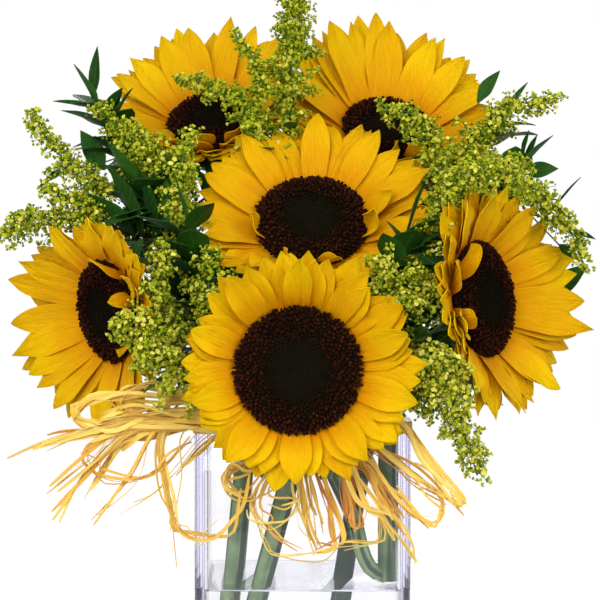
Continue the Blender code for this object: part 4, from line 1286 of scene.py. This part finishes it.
THIN_GREEN, tree, shader = finish("thin_stem_green", {"Roughness": 0.5, "Specular IOR Level": 0.12})
ribs = fibres(tree, 12.0, 4.0)
base = mix(tree, patches(tree, 120.0)["Mask"], paint(70, 104, 34), paint(112, 138, 52))
coat(tree, shader, washed(tree, base, ribs, 0.4, (58, 84, 30)), ribs, 0.0003, 0.5)

ROD_LEAF = leafy_material("goldenrod_leaf", (52, 88, 30), (82, 118, 42), (40, 72, 26), (120, 150, 70), 0.5)

# a closed floret, drawn out to a tip, and an open one with a star of rays
shut = standing("cone", 4, 0.5, radius1=0, radius2=0.36)
edit(shut, "FACE", facing_up())
bpy.ops.mesh.poke(offset=0.32)
close_edit()
SHUT = take_form(shut)

star = standing("cone", 6, 0.7, radius1=0, radius2=0.55)
edit(star, "FACE", facing_up())
bpy.ops.mesh.poke(offset=0.06)
edit(star, "VERT", lambda vert: (vert.co.xy.length > 0.4
                                 and math.cos(3 * math.atan2(vert.co.y, vert.co.x)) > 0))
bpy.ops.transform.resize(value=(0.5, 0.5, 0.8), center_override=(0, 0, 0.7))
close_edit()
STAR = take_form(star)

TWIG = rod_form(4, 5)
THIN_ROD = rod_form(7, 36)
SMALL_LEAF = grid_form(4, 9, 1.15)


def thin_path(bearing, rise, steps):
    """A thin stem's route, from its end inside the vase's neck, over the rim's inner edge, and up."""
    end = polar(TUCK_END, bearing, TUCK_HEIGHT)
    lean = (rise[0] - end).normalized()
    toward = polar(1.0, bearing, 0.0)
    reach = VASE_SIDE / 2 - VASE_WALL - (GAP + THIN_STEM) / math.sqrt(lean.z)
    rim = toward * (reach / max(abs(toward.x), abs(toward.y))) + Vector((0, 0, VASE_HEIGHT))
    return [end, *smooth_line([rim, *rise], steps)]


def along_stem(path, first, count):
    """The base and direction of each side shoot, between the first one's share of the way and the tip."""
    for k in range(count):
        spot = (first + (1 - first) * k / count) * (len(path) - 1)
        low = min(int(spot), len(path) - 2)
        yield k, path[low].lerp(path[low + 1], spot - low), (path[low + 1] - path[low]).normalized()


def turned_off(along, bearing, forward):
    """The way that a side shoot leaves its stem, at a bearing round it."""
    across = along.orthogonal().normalized()
    across.rotate(Quaternion(along, math.radians(bearing)))
    return (along * forward + across).normalized()


def stray(draw, along, bearing, spread=25):
    """The way of a side shoot that doesn't keep quite to its bearing."""
    return turned_off(along, bearing + draw.uniform(-spread, spread), draw.uniform(0.7, 1.1))


def twig_line(base, out, length):
    return [base + out * (length * s) - Vector((0, 0, TWIG_DROOP * length * s * s))
            for s in (0, 0.25, 0.5, 0.75, 1)]


def put_rod(gather, form, line, low, high):
    """Adds a thin round stem along a line, from one radius to the other."""
    radii = np.linspace(low, high, len(line))
    gather.put(form, points=lay(form, line, carried(line), radii), finish=1)


def crowd(gather, rng, line, start, ripe, density=FLORETS_A_METRE):
    """Crowds florets round a twig, thinner towards its tip, and more of them on its upper side. Florets that
    stand further out and face up are painted lighter and those close in darker, as painted light and shade.
    """
    line = np.array(line)
    steps = distances(line)
    count = max(3, int(density * steps[-1] * (1 - start)))
    where = np.sort(rng.uniform(start, 1, count))
    spots = sample(line, steps, where * steps[-1])
    ahead = sample(ahead_of(line), steps, where * steps[-1])
    away = rng.normal(0, 1, (count, 3))
    away[:, 2] += 0.45
    away = unit(away - ahead * (away * ahead).sum(axis=1, keepdims=True))
    reach = FLORET_SPREAD * rng.uniform(0.15, 1.0, count) * (1 - 0.4 * where)
    axes = away + 0.65 * ahead + rng.normal(0, 0.25, (count, 3))
    sizes = FLORET_SIZE * rng.uniform(0.75, 1.2, count) * (1 - 0.25 * where)
    # florets further out from the twig and facing up are painted lighter, those close in darker: painted
    # light and shade
    shade = rng.normal(ripe, 0.17, count) + 0.12 * (reach / FLORET_SPREAD) + 0.05 * away[:, 2]
    shade = np.clip(shade, 0.05, 0.98)
    places = stand_on(spots + away * reach[:, None], axes, sizes, rng.uniform(0, 6, count))
    stars = rng.random(count) < STAR_SHARE
    gather.put(SHUT, places=places[~stars], shade=shade[~stars] - 0.05, tinted=0.45)
    gather.put(STAR, places=places[stars], shade=shade[stars] + 0.12, tinted=0.35)


def make_goldenrod(name, stem, number):
    rng = np.random.default_rng(300 + number)
    draw = random.Random(name + "_twigs")
    surface = solid_surface(f"goldenrod_{name}")
    gather, leaves = Gather(), Gather()

    def put_twig(line, bare):
        put_rod(gather, TWIG, np.array(line), *TWIG_RADII)
        crowd(gather, rng, line, bare, stem.ripe)

    for fork, route in enumerate(stem.plumes):
        coarse, path = smooth_line(route, 2), smooth_line(route, 6)
        put_rod(gather, THIN_ROD, even(path, 30), *SPINE_RADII)
        crowd(gather, rng, path, 0.08, stem.ripe, FLORETS_ON_SPINE)

        # the twigs that the solid has, then shorter ones in between
        length = sum((b - a).length for a, b in zip(coarse, coarse[1:]))
        count = max(3, round(length / BRANCH_STEP))
        twigs = []
        for k, base, along in along_stem(coarse, 0.08, count):
            reach = TWIG_LENGTH - TWIG_SHORTER * k / (count - 1)
            outs = [turned_off(along, 60 * fork + GOLDEN_ANGLE * k + turn, 0.65) for turn in TURNS]
            out = best_fit(surface, [(twig_line(base, out, reach)[-1], out) for out in outs])
            if out:
                twigs.append(twig_line(base, out, reach * min(1, stem.reach) * (1 - 0.3 * k / count)))
        between = round(length / TWIG_STEP * stem.dense)
        for k, base, along in along_stem(path, 0.03, between):
            reach = (FINE_LENGTH - FINE_SHORTER * k / between) * draw.uniform(0.45, 1.0) * stem.reach
            twigs.append(twig_line(base, stray(draw, along, GOLDEN_ANGLE * k + 70), reach))
        for line in twigs:
            put_twig(line, 0.06)

    # the stem below the plume, with its lowest twigs and its leaves
    path = thin_path(stem.bearing, [*stem.rise, stem.plumes[0][0]], 8)
    for k, base, along in along_stem(path, LOW_TWIGS_FROM, stem.low):
        out = stray(draw, along, GOLDEN_ANGLE * k + 20)
        put_twig(twig_line(base, out, draw.uniform(*LOW_TWIG_LENGTHS)), 0.15)
    put_rod(gather, THIN_ROD, even(path, 60), THIN_STEM, 0.0012)
    for k, base, along in along_stem(path, ROD_LEAVES_FROM, ROD_LEAVES):
        length = draw.uniform(*ROD_LEAF_LENGTHS)
        course = leaf_course(base, turned_off(along, GOLDEN_ANGLE * k, 1.1), length, 0.25)
        width = outline(0.15, 0.4, 0.8, ROD_LEAF_HALF * length)
        put_leaf(leaves, draw, SMALL_LEAF, course, width, 0.3, 0.2)
    blades = leaves.piece("blades", FLORETS, THIN_GREEN, ROD_LEAF)
    tidy_surface(blades, 0.0004)
    plume = gather.piece(f"plume_{name}", FLORETS, THIN_GREEN, ROD_LEAF)
    join(plume, blades)
    settle(plume, "goldenrod", f"goldenrod_{name}")


for number, (name, stem) in enumerate(GOLDENROD.items()):
    make_goldenrod(name, stem, number)


# ================================================================ dark foliage
# Stems of pointed, dark green leaves that fill the gaps behind the flowers. Each leaf is folded along
# a pale rib, and the young ones between the big leaves are smaller. Single leaves stand out of the bunch
# at its edges: from foot to tip, with their half width in mm and how far they are rolled, in degrees.

# each stem: its bearing in the vase's neck, its rise, how many big leaves it has, how long they are, the
# share of the stem below them, and its single leaves
Branch = namedtuple("Branch", "bearing rise leaves length start single", defaults=((),))
LEAFY = {
    "upper_left": Branch(
        bearing=156, rise=(mm(-66, 30, 270), mm(-102, 22, 340), mm(-127, 14, 392)),
        leaves=6, length=0.048, start=0.45,
        single=(
            (mm(-129, 12, 396), mm(-126, 8, 428), 3.8, 0),
            (mm(-130, 12, 391), mm(-153, 6, 394), 2.4, 30),
            (mm(-122, 8, 352), mm(-136, 2, 376), 6.5, 70),
            (mm(-124, 10, 356), mm(-135, 8, 372), 6.0, 40),
        ),
    ),
    "left": Branch(
        bearing=182, rise=(mm(-58, 2, 245), mm(-78, -2, 300), mm(-98, -20, 338)),
        leaves=5, length=0.062, start=0.35,
        single=(
            (mm(-46, -8, 316), mm(-68, -16, 358), 12.0, 20),
            (mm(-76, -14, 268), mm(-98, -24, 306), 9.0, 20),
            (mm(-96, -24, 311), mm(-117, -28, 353), 9.5, 20),
            (mm(-88, -26, 308), mm(-99, -30, 352), 9.5, 10),
            (mm(-101, -22, 310), mm(-129, -24, 336), 8.5, 30),
            (mm(-146, -4, 350), mm(-161, -12, 339), 5.0, 30),
            (mm(-80, -28, 314), mm(-82, -32, 344), 9.0, 10),
        ),
    ),
    "near_left": Branch(
        bearing=196, rise=(mm(-50, -34, 225), mm(-56, -48, 262), mm(-68, -50, 316)),
        leaves=5, length=0.056, start=0.40,
    ),
    "upper_right": Branch(
        bearing=46, rise=(mm(66, 44, 270), mm(100, 50, 335), mm(126, 40, 384)),
        leaves=5, length=0.048, start=0.45,
        single=(
            (mm(110, 42, 396), mm(124, 40, 416), 5.0, 60),
        ),
    ),
    "right": Branch(
        bearing=2, rise=(mm(60, 20, 245), mm(98, 32, 306), mm(135, 22, 353)),
        leaves=6, length=0.048, start=0.45,
        single=(
            (mm(136, 20, 359), mm(140, 16, 377), 3.8, 60),
            (mm(138, 20, 357), mm(145, 16, 374), 3.0, 60),
            (mm(138, 20, 351), mm(158, 14, 353), 5.2, 80), (mm(154, 4, 328), mm(170, 0, 347), 1.4, 30),
            (mm(166, 0, 314), mm(179, -2, 309), 1.8, 60), (mm(157, 4, 306), mm(169, 0, 296), 3.2, 60),
        ),
    ),
    "low_right": Branch(
        bearing=-39, rise=(mm(62, -38, 236), mm(96, -8, 244), mm(140, 6, 268)),
        leaves=5, length=0.048, start=0.50,
        single=(
            (mm(152, 30, 272), mm(178, 28, 294), 7.0, 70),
            (mm(146, 14, 288), mm(159, 10, 298), 3.6, 60),
        ),
    ),
    "near_right": Branch(
        bearing=-72, rise=(mm(28, -52, 225), mm(46, -56, 262), mm(62, -58, 312)),
        leaves=5, length=0.056, start=0.40,
        single=(
            (mm(54, -58, 264), mm(80, -70, 232), 9.0, 30),
            (mm(54, -58, 270), mm(84, -68, 262), 9.0, 20),
            (mm(56, -62, 250), mm(68, -72, 214), 8.0, 30),
            (mm(60, -58, 300), mm(84, -62, 312), 9.0, 20),
        ),
    ),
    "back_left": Branch(
        bearing=112, rise=(mm(-26, 72, 270), mm(-32, 92, 320), mm(-36, 104, 366)),
        leaves=6, length=0.054, start=0.30,
    ),
    "back_right": Branch(
        bearing=64, rise=(mm(34, 72, 270), mm(40, 92, 320), mm(44, 104, 362)),
        leaves=6, length=0.054, start=0.30,
    ),
}

DARK_LEAF = leafy_material("dark_leaf", (22, 58, 14), (54, 104, 28), (14, 46, 14), (88, 132, 50), 0.4, 0.55)
LEAF = grid_form(6, 12, 1.15)
LEAF_SHAPE = (0.1, 0.38, 1.05)  # as outline takes it, before the half width
LEAF_FACES = [corners.tolist() for corners in np.split(LEAF.corners, np.cumsum(LEAF.sizes)[:-1])]
LEAF_SHARES = (1.0, 0.85, 0.7, 0.55)  # sizes tried for a leaf that would cross a petal
BIG_HALF, YOUNG_LEAF_HALF = 0.23, (0.24, 0.31)  # a leaf's half width beside its length
TIP_HALF = 0.007
YOUNG_LEAVES = 5.2  # for each big one
YOUNG_LEAF_LENGTH = (0.62, 1.04)  # beside a big one's
ALL_PETALS = surface_of([bpy.data.objects[f"ray_petals_{name}"].data for name in HEADS])


def clear_leaf(course, half, relief):
    """The points of a leaf, made smaller until it crosses no petal, or None."""
    line, across = course
    for share in LEAF_SHARES:
        shorter = line[0] + (line - line[0]) * share
        shape = lay(LEAF, shorter, across, outline(*LEAF_SHAPE, half * share), relief)
        if not BVHTree.FromPolygons(shape.tolist(), LEAF_FACES).overlap(ALL_PETALS):
            return shape
    return None


def make_leafy(name, stem):
    draw = random.Random(name + "_leaves")
    surface = solid_surface(f"foliage_{name}")
    coarse, path = (thin_path(stem.bearing, stem.rise, steps) for steps in (2, 8))
    leaves, thin = Gather(), Gather()
    courses = []

    # the leaves that the solid has, along the stem and at its tip
    for k, base, along in along_stem(coarse, stem.start, stem.leaves):
        length = stem.length * (1.0 - 0.28 * k / stem.leaves)
        outs = [turned_off(along, GOLDEN_ANGLE * k + turn, 0.85) for turn in TURNS]
        fit = fitting(surface, [leaf_course(base, out, length, 0.18) for out in outs])
        if fit:
            courses.append((fit, BIG_HALF * length))
    tip = (coarse[-1] - coarse[-2]).normalized()
    fit = fitting(surface, [leaf_course(coarse[-1] - tip * 0.004, tip, stem.length * reach, 0.1)
                            for reach in (0.75, 0.5)])
    if fit:
        courses.append((fit, TIP_HALF))

    # younger ones in between, and the single ones, each on a thin stalk
    extra = round(YOUNG_LEAVES * stem.leaves)
    for k, base, along in along_stem(path, stem.start * 0.7, extra):
        length = stem.length * draw.uniform(*YOUNG_LEAF_LENGTH) * (1.0 - 0.25 * k / extra)
        out = stray(draw, along, GOLDEN_ANGLE * k + 60, 30)
        course = leaf_course(base, out, length, draw.uniform(0.1, 0.3))
        courses.append((course, draw.uniform(*YOUNG_LEAF_HALF) * length))
    for foot, tip, half, roll in stem.single:
        length = (tip - foot).length
        line, across = leaf_course(foot, (tip - foot) / length + Vector((0, 0, 0.12)), length, 0.12)
        across = Vector(across[0])
        across.rotate(Quaternion((tip - foot).normalized(), math.radians(roll)))
        courses.append(((line, np.tile(across, (len(line), 1))), half * 0.001))
        near = min(path, key=lambda point: (point - foot).length)
        put_rod(thin, TWIG, np.array([near.lerp(foot, k / 4) for k in range(5)]), 0.0006, 0.0006)

    for course, half in courses:
        shape, shade = clear_leaf(course, half, leaf_relief(draw, 0.22, 0.14)), draw.random()
        if shape is not None:
            leaves.put(LEAF, points=shape, shade=shade)
    foliage = leaves.piece(f"leaves_{name}", DARK_LEAF, THIN_GREEN)
    tidy_surface(foliage, BLADE_THICK)
    put_rod(thin, THIN_ROD, even(path, 60), THIN_STEM, 0.0009)
    join(foliage, thin.piece("thin", DARK_LEAF, THIN_GREEN))
    settle(foliage, "foliage", f"foliage_{name}")


for name, stem in LEAFY.items():
    make_leafy(name, stem)


# ================================================================ raffia
# Dried palm leaf torn into flat strips. A few turns of it bind the vase's neck, and the rest is tied
# in front as a loose bow, with loops and torn ends that stand out stiffly to both sides.
BAND_LOW, BAND_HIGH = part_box("raffia_band")
KNOT = mm(-4, -70.8, 199)
KNOT_SIZE = mm(9, 5.5, 8)
KNOT_TURNS, KNOT_STEPS = 9, 32
STRIP_THICK = 0.00022
STRIP_STEPS = 60
SHORTEST_STRIP = 46  # in steps
STRIP_WIDTHS = (0.0008, 0.0015)  # beside its strand's
STRAY = 0.0026  # how far a strip's route may stray from its strand's

# each strand's route out from the knot, its number of strips, how brown they are, and their half width
# in mm. Loops come back to the knot, and the others end torn.
STRANDS = (
    ((mm(-60, -82, 207), mm(-112, -100, 201), mm(-143, -103, 193), mm(-168, -104, 182)), 7, 0.35, 1.7),
    ((mm(-64, -80, 213), mm(-87, -92, 217), mm(-106, -99, 218), mm(-122, -101, 216),
      mm(-130, -102, 209), mm(-125, -102, 201), mm(-106, -100, 198), mm(-80, -94, 203),
      mm(-40, -80, 200)), 5, 0.25, 1.2),
    ((mm(-62, -80, 205), mm(-100, -97, 198), mm(-122, -101, 185), mm(-144, -102, 166)), 4, 0.3, 1.3),
    ((mm(-58, -78, 203), mm(-98, -96, 195), mm(-122, -98, 174), mm(-143, -98, 146)), 3, 0.3, 1.0),
    ((mm(-54, -77, 200), mm(-88, -90, 198), mm(-106, -93, 187), mm(-117, -93, 172),
      mm(-125, -93, 158)), 3, 0.4, 1.5),
    ((mm(-52, -77, 204), mm(-82, -92, 198), mm(-99, -95, 170), mm(-121, -96, 146)), 2, 0.3, 0.6),
    ((mm(-50, -77, 196), mm(-72, -88, 174), mm(-84, -92, 162), mm(-105, -94, 149)), 1, 0.3, 0.6),
    ((mm(-58, -78, 206), mm(-100, -96, 200), mm(-122, -100, 187), mm(-120, -100, 177),
      mm(-113, -99, 170), mm(-98, -97, 169), mm(-78, -92, 179), mm(-60, -82, 196)), 3, 0.35, 0.9),
    ((mm(-56, -78, 208), mm(-81, -90, 197), mm(-79, -92, 163), mm(-75, -92, 148), mm(-71, -92, 140),
      mm(-60, -91, 134), mm(-49, -90, 136), mm(-41, -88, 145), mm(-34, -84, 154),
      mm(-30, -78, 176)), 4, 0.3, 0.9),
    ((mm(-54, -77, 206), mm(-79, -90, 194), mm(-76, -92, 160), mm(-72, -92, 118)), 2, 0.35, 0.7),
    ((mm(-50, -77, 214), mm(-76, -88, 221), mm(-92, -94, 222), mm(-106, -98, 217), mm(-84, -92, 207),
      mm(-50, -80, 203)), 5, 0.2, 1.2),
    ((mm(-48, -78, 210), mm(-74, -90, 209), mm(-96, -98, 206), mm(-116, -100, 204), mm(-90, -96, 200),
      mm(-50, -80, 198)), 5, 0.3, 1.2),
    ((mm(-46, -77, 194), mm(-60, -84, 187), mm(-73, -88, 171)), 2, 0.5, 1.0),
    ((mm(28, -78, 204), mm(55, -84, 200), mm(74, -92, 177), mm(92, -98, 154), mm(78, -94, 162),
      mm(64, -88, 171), mm(40, -78, 190)), 3, 0.25, 1.2),
    ((mm(26, -76, 196), mm(44, -78, 187), mm(64, -86, 171), mm(90, -98, 154)), 4, 0.8, 1.1),
    ((mm(26, -75, 192), mm(44, -78, 184), mm(64, -86, 170), mm(76, -90, 163), mm(81, -92, 151),
      mm(74, -92, 144), mm(56, -86, 156), mm(40, -78, 178), mm(26, -75, 188)), 2, 0.5, 0.8),
    ((mm(22, -74, 186), mm(33, -75, 181), mm(44, -77, 167), mm(56, -79, 142),
      mm(63, -80, 122)), 6, 0.55, 1.2),
    ((mm(22, -74, 184), mm(44, -77, 167), mm(59, -80, 153), mm(73, -82, 140)), 3, 0.4, 0.9),
    ((mm(16, -75, 186), mm(27, -79, 177), mm(37, -82, 157), mm(46, -84, 147), mm(58, -85, 132),
      mm(66, -86, 121)), 4, 0.0, 1.5),
    ((mm(18, -74, 184), mm(23, -75, 181), mm(27, -76, 160), mm(28, -76, 140)), 7, 0.9, 1.2),
    ((mm(4, -74, 182), mm(10, -75, 165), mm(22, -77, 139), mm(14, -77, 131),
      mm(7, -77, 127)), 4, 0.75, 1.1),
    ((mm(-2, -74, 182), mm(-1, -75, 161), mm(2, -76, 141), mm(8, -77, 127)), 4, 0.35, 1.1),
    ((mm(3, -74, 182), mm(5, -75, 161), mm(9, -76, 129)), 3, 0.4, 1.2),
    ((mm(-10, -75, 184), mm(-26, -77, 164), mm(-27, -78, 150), mm(-23, -79, 132), mm(-15, -79, 125),
      mm(9, -79, 126), mm(23, -79, 129), mm(43, -80, 132), mm(44, -79, 150),
      mm(42, -78, 176)), 2, 0.3, 0.6),
    ((mm(-12, -75, 182), mm(-29, -78, 157), mm(-19, -79, 139), mm(-12, -79, 134),
      mm(0, -79, 128)), 2, 0.6, 0.6),
    ((mm(-16, -75, 186), mm(-34, -78, 176), mm(-45, -79, 167), mm(-38, -80, 159), mm(-28, -80, 156),
      mm(-20, -78, 168)), 3, 0.35, 0.9),
    ((mm(-14, -75, 185), mm(-31, -78, 174), mm(-42, -80, 176), mm(-46, -80, 166), mm(-34, -79, 161),
      mm(-22, -78, 174)), 3, 0.5, 0.8),
    ((mm(-8, -75, 184), mm(-3, -77, 164), mm(-3, -79, 151), mm(-19, -80, 139), mm(-30, -80, 150),
      mm(-29, -79, 164)), 1, 0.0, 0.6),
    ((mm(-8, -75, 184), mm(-20, -78, 160), mm(-5, -80, 157), mm(-10, -80, 151),
      mm(-20, -79, 154)), 1, 0.1, 0.6),
    ((mm(30, -75, 190), mm(43, -77, 176), mm(43, -79, 163), mm(45, -80, 147), mm(44, -80, 133),
      mm(24, -80, 127)), 0, 0.2, 0.6),
    ((mm(24, -75, 182), mm(34, -77, 164), mm(37, -78, 148), mm(30, -78, 139),
      mm(25, -77, 150)), 2, 0.6, 0.8),
)

RAFFIA, tree, shader = finish("raffia", {"Roughness": 0.5, "Sheen Weight": 0.1, "Specular IOR Level": 0.3})
grain = fibres(tree, 9.0, 14.0)
base = ramp(tree, shade_of(tree), (0.0, 250, 222, 112), (0.35, 234, 190, 68),
            (0.7, 230, 160, 74), (1.0, 212, 124, 54))
base = washed(tree, base, patches(tree, 50.0)["Mask"], 0.25, (248, 218, 116))
coat(tree, shader, washed(tree, base, grain, 0.3, (190, 126, 40)), grain, 0.0003, 0.6)

STRIP = grid_form(2, 40)


def strip(gather, draw, line, half, shade):
    """One flat strip along a line, turning slowly about its length and narrowing to torn ends."""
    across = carried(line, Vector((draw.uniform(-1, 1), draw.uniform(-0.3, 0.3), 1)))
    twist = draw.uniform(-0.9, 0.9) + draw.uniform(-2.2, 2.2) * np.linspace(0, 1, len(line))
    across = across * np.cos(twist)[:, None] + np.cross(ahead_of(line), across) * np.sin(twist)[:, None]
    curl = draw.uniform(-0.5, 0.5)
    shape = lay(STRIP, line, across, lambda s: half * np.minimum(1, 0.45 + 9 * (1 - s)),
                lambda s, x, wide: curl * wide * x * x)
    gather.put(STRIP, points=shape, shade=min(max(shade + draw.uniform(-0.4, 0.25), 0), 1))


def wind(gather, form, line, level, widths, shades, relief):
    """One turn of a strip that is kept to one direction across."""
    across, half = np.tile(level, (len(line), 1)), np.full(len(line), draw.uniform(*widths))
    gather.put(form, points=lay(form, line, across, half, relief), shade=draw.uniform(*shades))


draw = random.Random("raffia")
gather = Gather()
for route, strips, brown, width in STRANDS:
    for k in range(strips + 1):
        points = [KNOT + Vector([draw.uniform(-3, 3) * 0.001 for _ in range(3)])]
        for step, point in enumerate(route):
            away = STRAY * (0.5 + (step + 1) / len(route)) if k else 0.0
            points.append(point + Vector([draw.gauss(0, away * share) for share in (1, 0.6, 1)]))
        line = even(smooth_line(points, 8), STRIP_STEPS)
        keep = draw.randint(SHORTEST_STRIP, STRIP_STEPS) if k else STRIP_STEPS
        strip(gather, draw, even(line[:keep], STRIP_STEPS), width * draw.uniform(*STRIP_WIDTHS), brown)
bow = gather.piece("raffia_strips", RAFFIA)
tidy_surface(bow, STRIP_THICK)

# the knot: strips wound tightly over each other
core = add_primitive("uv_sphere", "core", segments=20, ring_count=12, radius=1, scale=KNOT_SIZE * 0.9,
                     location=KNOT)
wound, turns = Gather(), Gather()
wound.put(take_form(core))
core = wound.piece("core", RAFFIA)
for k in range(KNOT_TURNS):
    shift = -0.8 + 1.6 * k / (KNOT_TURNS - 1)
    ring = []
    for step in range(KNOT_STEPS + 1):
        turn = math.tau * step / KNOT_STEPS + k
        out = math.sqrt(1 - 0.7 * shift * shift) * (1.0 + 0.03 * math.sin(5 * turn + k))
        ring.append(KNOT + Vector((KNOT_SIZE.x * (shift + 0.16 * math.sin(turn + 1.7 * k)),
                                   KNOT_SIZE.y * out * math.cos(turn), KNOT_SIZE.z * out * math.sin(turn))))
    wind(turns, STRIP, even(ring, 40), [1.0, 0.0, 0.0], (0.0009, 0.0015), (0.2, 0.7),
         lambda s, x, wide: 0 * s)
turns = turns.piece("turns", RAFFIA)
tidy_surface(turns, 0.0004)
join(bow, core, turns)
settle(bow, "raffia", "raffia_bow")

# the turns round the vase's neck
NECK_TURNS, NECK_STEPS = 9, 141
NECK_CORNER = 0.0065
NECK_STRIP = grid_form(2, NECK_STEPS - 1)


def round_neck(out, height):
    """A level route round the vase's neck, from the middle of its front and back again."""
    half = VASE_SIDE / 2 + out
    inner = half - NECK_CORNER
    path = [Vector((0, -half, height))]
    for side, (x, y) in enumerate(((1, -1), (1, 1), (-1, 1), (-1, -1))):
        for k in range(7):
            turn = math.radians(-90 + 90 * side + 15 * k)
            path.append(Vector((x * inner + NECK_CORNER * math.cos(turn),
                                y * inner + NECK_CORNER * math.sin(turn), height)))
    path.append(Vector((0, -half, height)))
    return even(path, NECK_STEPS)


turns = Gather()
sway = np.linspace(0, math.tau, NECK_STEPS)
for k in range(NECK_TURNS):
    line = round_neck(0.0006 + 0.0001 * (k % 4),
                      BAND_LOW.z + (BAND_HIGH.z - BAND_LOW.z) * (0.14 + 0.72 * ((k * 0.618) % 1)))
    line[:, 2] += 0.0006 * np.sin(sway * 3 + k) + 0.0005 * np.sin(sway * 7 + 2 * k)
    wind(turns, NECK_STRIP, line, [0.0, 0.0, 1.0], (0.0008, 0.0013), (0.15, 0.75),
         lambda s, x, wide: 0.12 * wide * np.cos(3 * x + k))
band = turns.piece("raffia_turns", RAFFIA)
tidy_surface(band, 0.0003)
settle(band, "raffia", "raffia_band")


# ================================================================ the room
# A pale floor, white all round, a big soft light in front above, and fill from both sides.
CAMERA_AT = (-0.0015, -1.5, 0.272)
LENS = 147.3
MIDDLE = Vector((0, 0, 0.25))
LIGHTS = {"key": ((-0.6, -2.0, 0.95), 1.4, 32), "fill": ((1.4, -1.5, 0.5), 1.4, 21),
          "side": ((-1.7, -1.0, 0.2), 1.2, 8), "back": ((0.3, 1.8, 1.4), 1.2, 20)}  # place, size, power
WHITE, BLACK = (1, 1, 1, 1), (0, 0, 0, 1)

floor = add_primitive("circle", "floor", vertices=96, radius=2.5, fill_type="NGON", location=(0, 0, -0.0002))
FLOOR, tree, shader = finish("pale_floor", {
    "Roughness": 0.6, "Specular IOR Level": 0.1, "Emission Strength": 1.0})
away = node(tree, "VectorMath", {0: object_coordinates(tree)}, operation="LENGTH").outputs["Value"]
faded = mapped(tree, away, 0.22, 0.62)  # far from the vase the floor melts into the white all round
pale = mix(tree, patches(tree, 6.0)["Mask"], (0.80, 0.80, 0.80, 1), (0.83, 0.83, 0.83, 1))
tree.links.new(mix(tree, faded, pale, BLACK), shader.inputs["Base Color"])
seen = maths(tree, "SUBTRACT", 1.0, node(tree, "LightPath").outputs["Is Diffuse Ray"])
lit = times(tree, faded, seen)
tree.links.new(mix(tree, lit, BLACK, WHITE), shader.inputs["Emission Color"])
wear(floor, FLOOR)

for name, (place, size, power) in LIGHTS.items():
    light = bpy.data.lights.new(name, "AREA")
    light.shape, light.size, light.energy = "SQUARE", size, power
    lamp = bpy.data.objects.new(name, light)
    lamp.location = place
    lamp.rotation_euler = (MIDDLE - Vector(place)).to_track_quat("-Z", "Y").to_euler()
    bpy.context.scene.collection.objects.link(lamp)

world = bpy.data.worlds.new("white_room")
bpy.context.scene.world = world
world.use_nodes = True
tree = world.node_tree
direction = node(tree, "SeparateXYZ", {"Vector": node(tree, "TexCoord").outputs["Generated"]}).outputs
aside = maths(tree, "POWER", maths(tree, "ABSOLUTE", direction["X"]), 4.0)
walls = mix(tree, aside, (0.97, 0.97, 0.98, 1), (0.66, 0.64, 0.80, 1))
path = node(tree, "LightPath").outputs
# what the vase's front mirrors is the darker side of the room, where nothing is lit
mirrored = times(tree, mapped(tree, direction["Y"], -0.9, -0.4, 1.0, 0.0),
                 maths(tree, "LESS_THAN", path["Transmission Depth"], 3.5))
walls = mix(tree, mirrored, walls, (0.36, 0.36, 0.38, 1))
walls = mix(tree, path["Is Diffuse Ray"], walls, (0.62, 0.62, 0.64, 1))
tree.links.new(mix(tree, path["Is Camera Ray"], walls, WHITE), tree.nodes["Background"].inputs["Color"])
cycles = bpy.context.scene.cycles
cycles.max_bounces, cycles.transmission_bounces, cycles.glossy_bounces = 24, 24, 16

camera = bpy.data.objects.new("camera", bpy.data.cameras.new("camera"))
camera.data.lens = LENS
camera.data.sensor_width = 36
camera.location = CAMERA_AT
camera.rotation_euler = (math.pi / 2, 0, 0)
bpy.context.scene.collection.objects.link(camera)
bpy.context.scene.camera = camera
bpy.context.scene.view_settings.view_transform = "Standard"
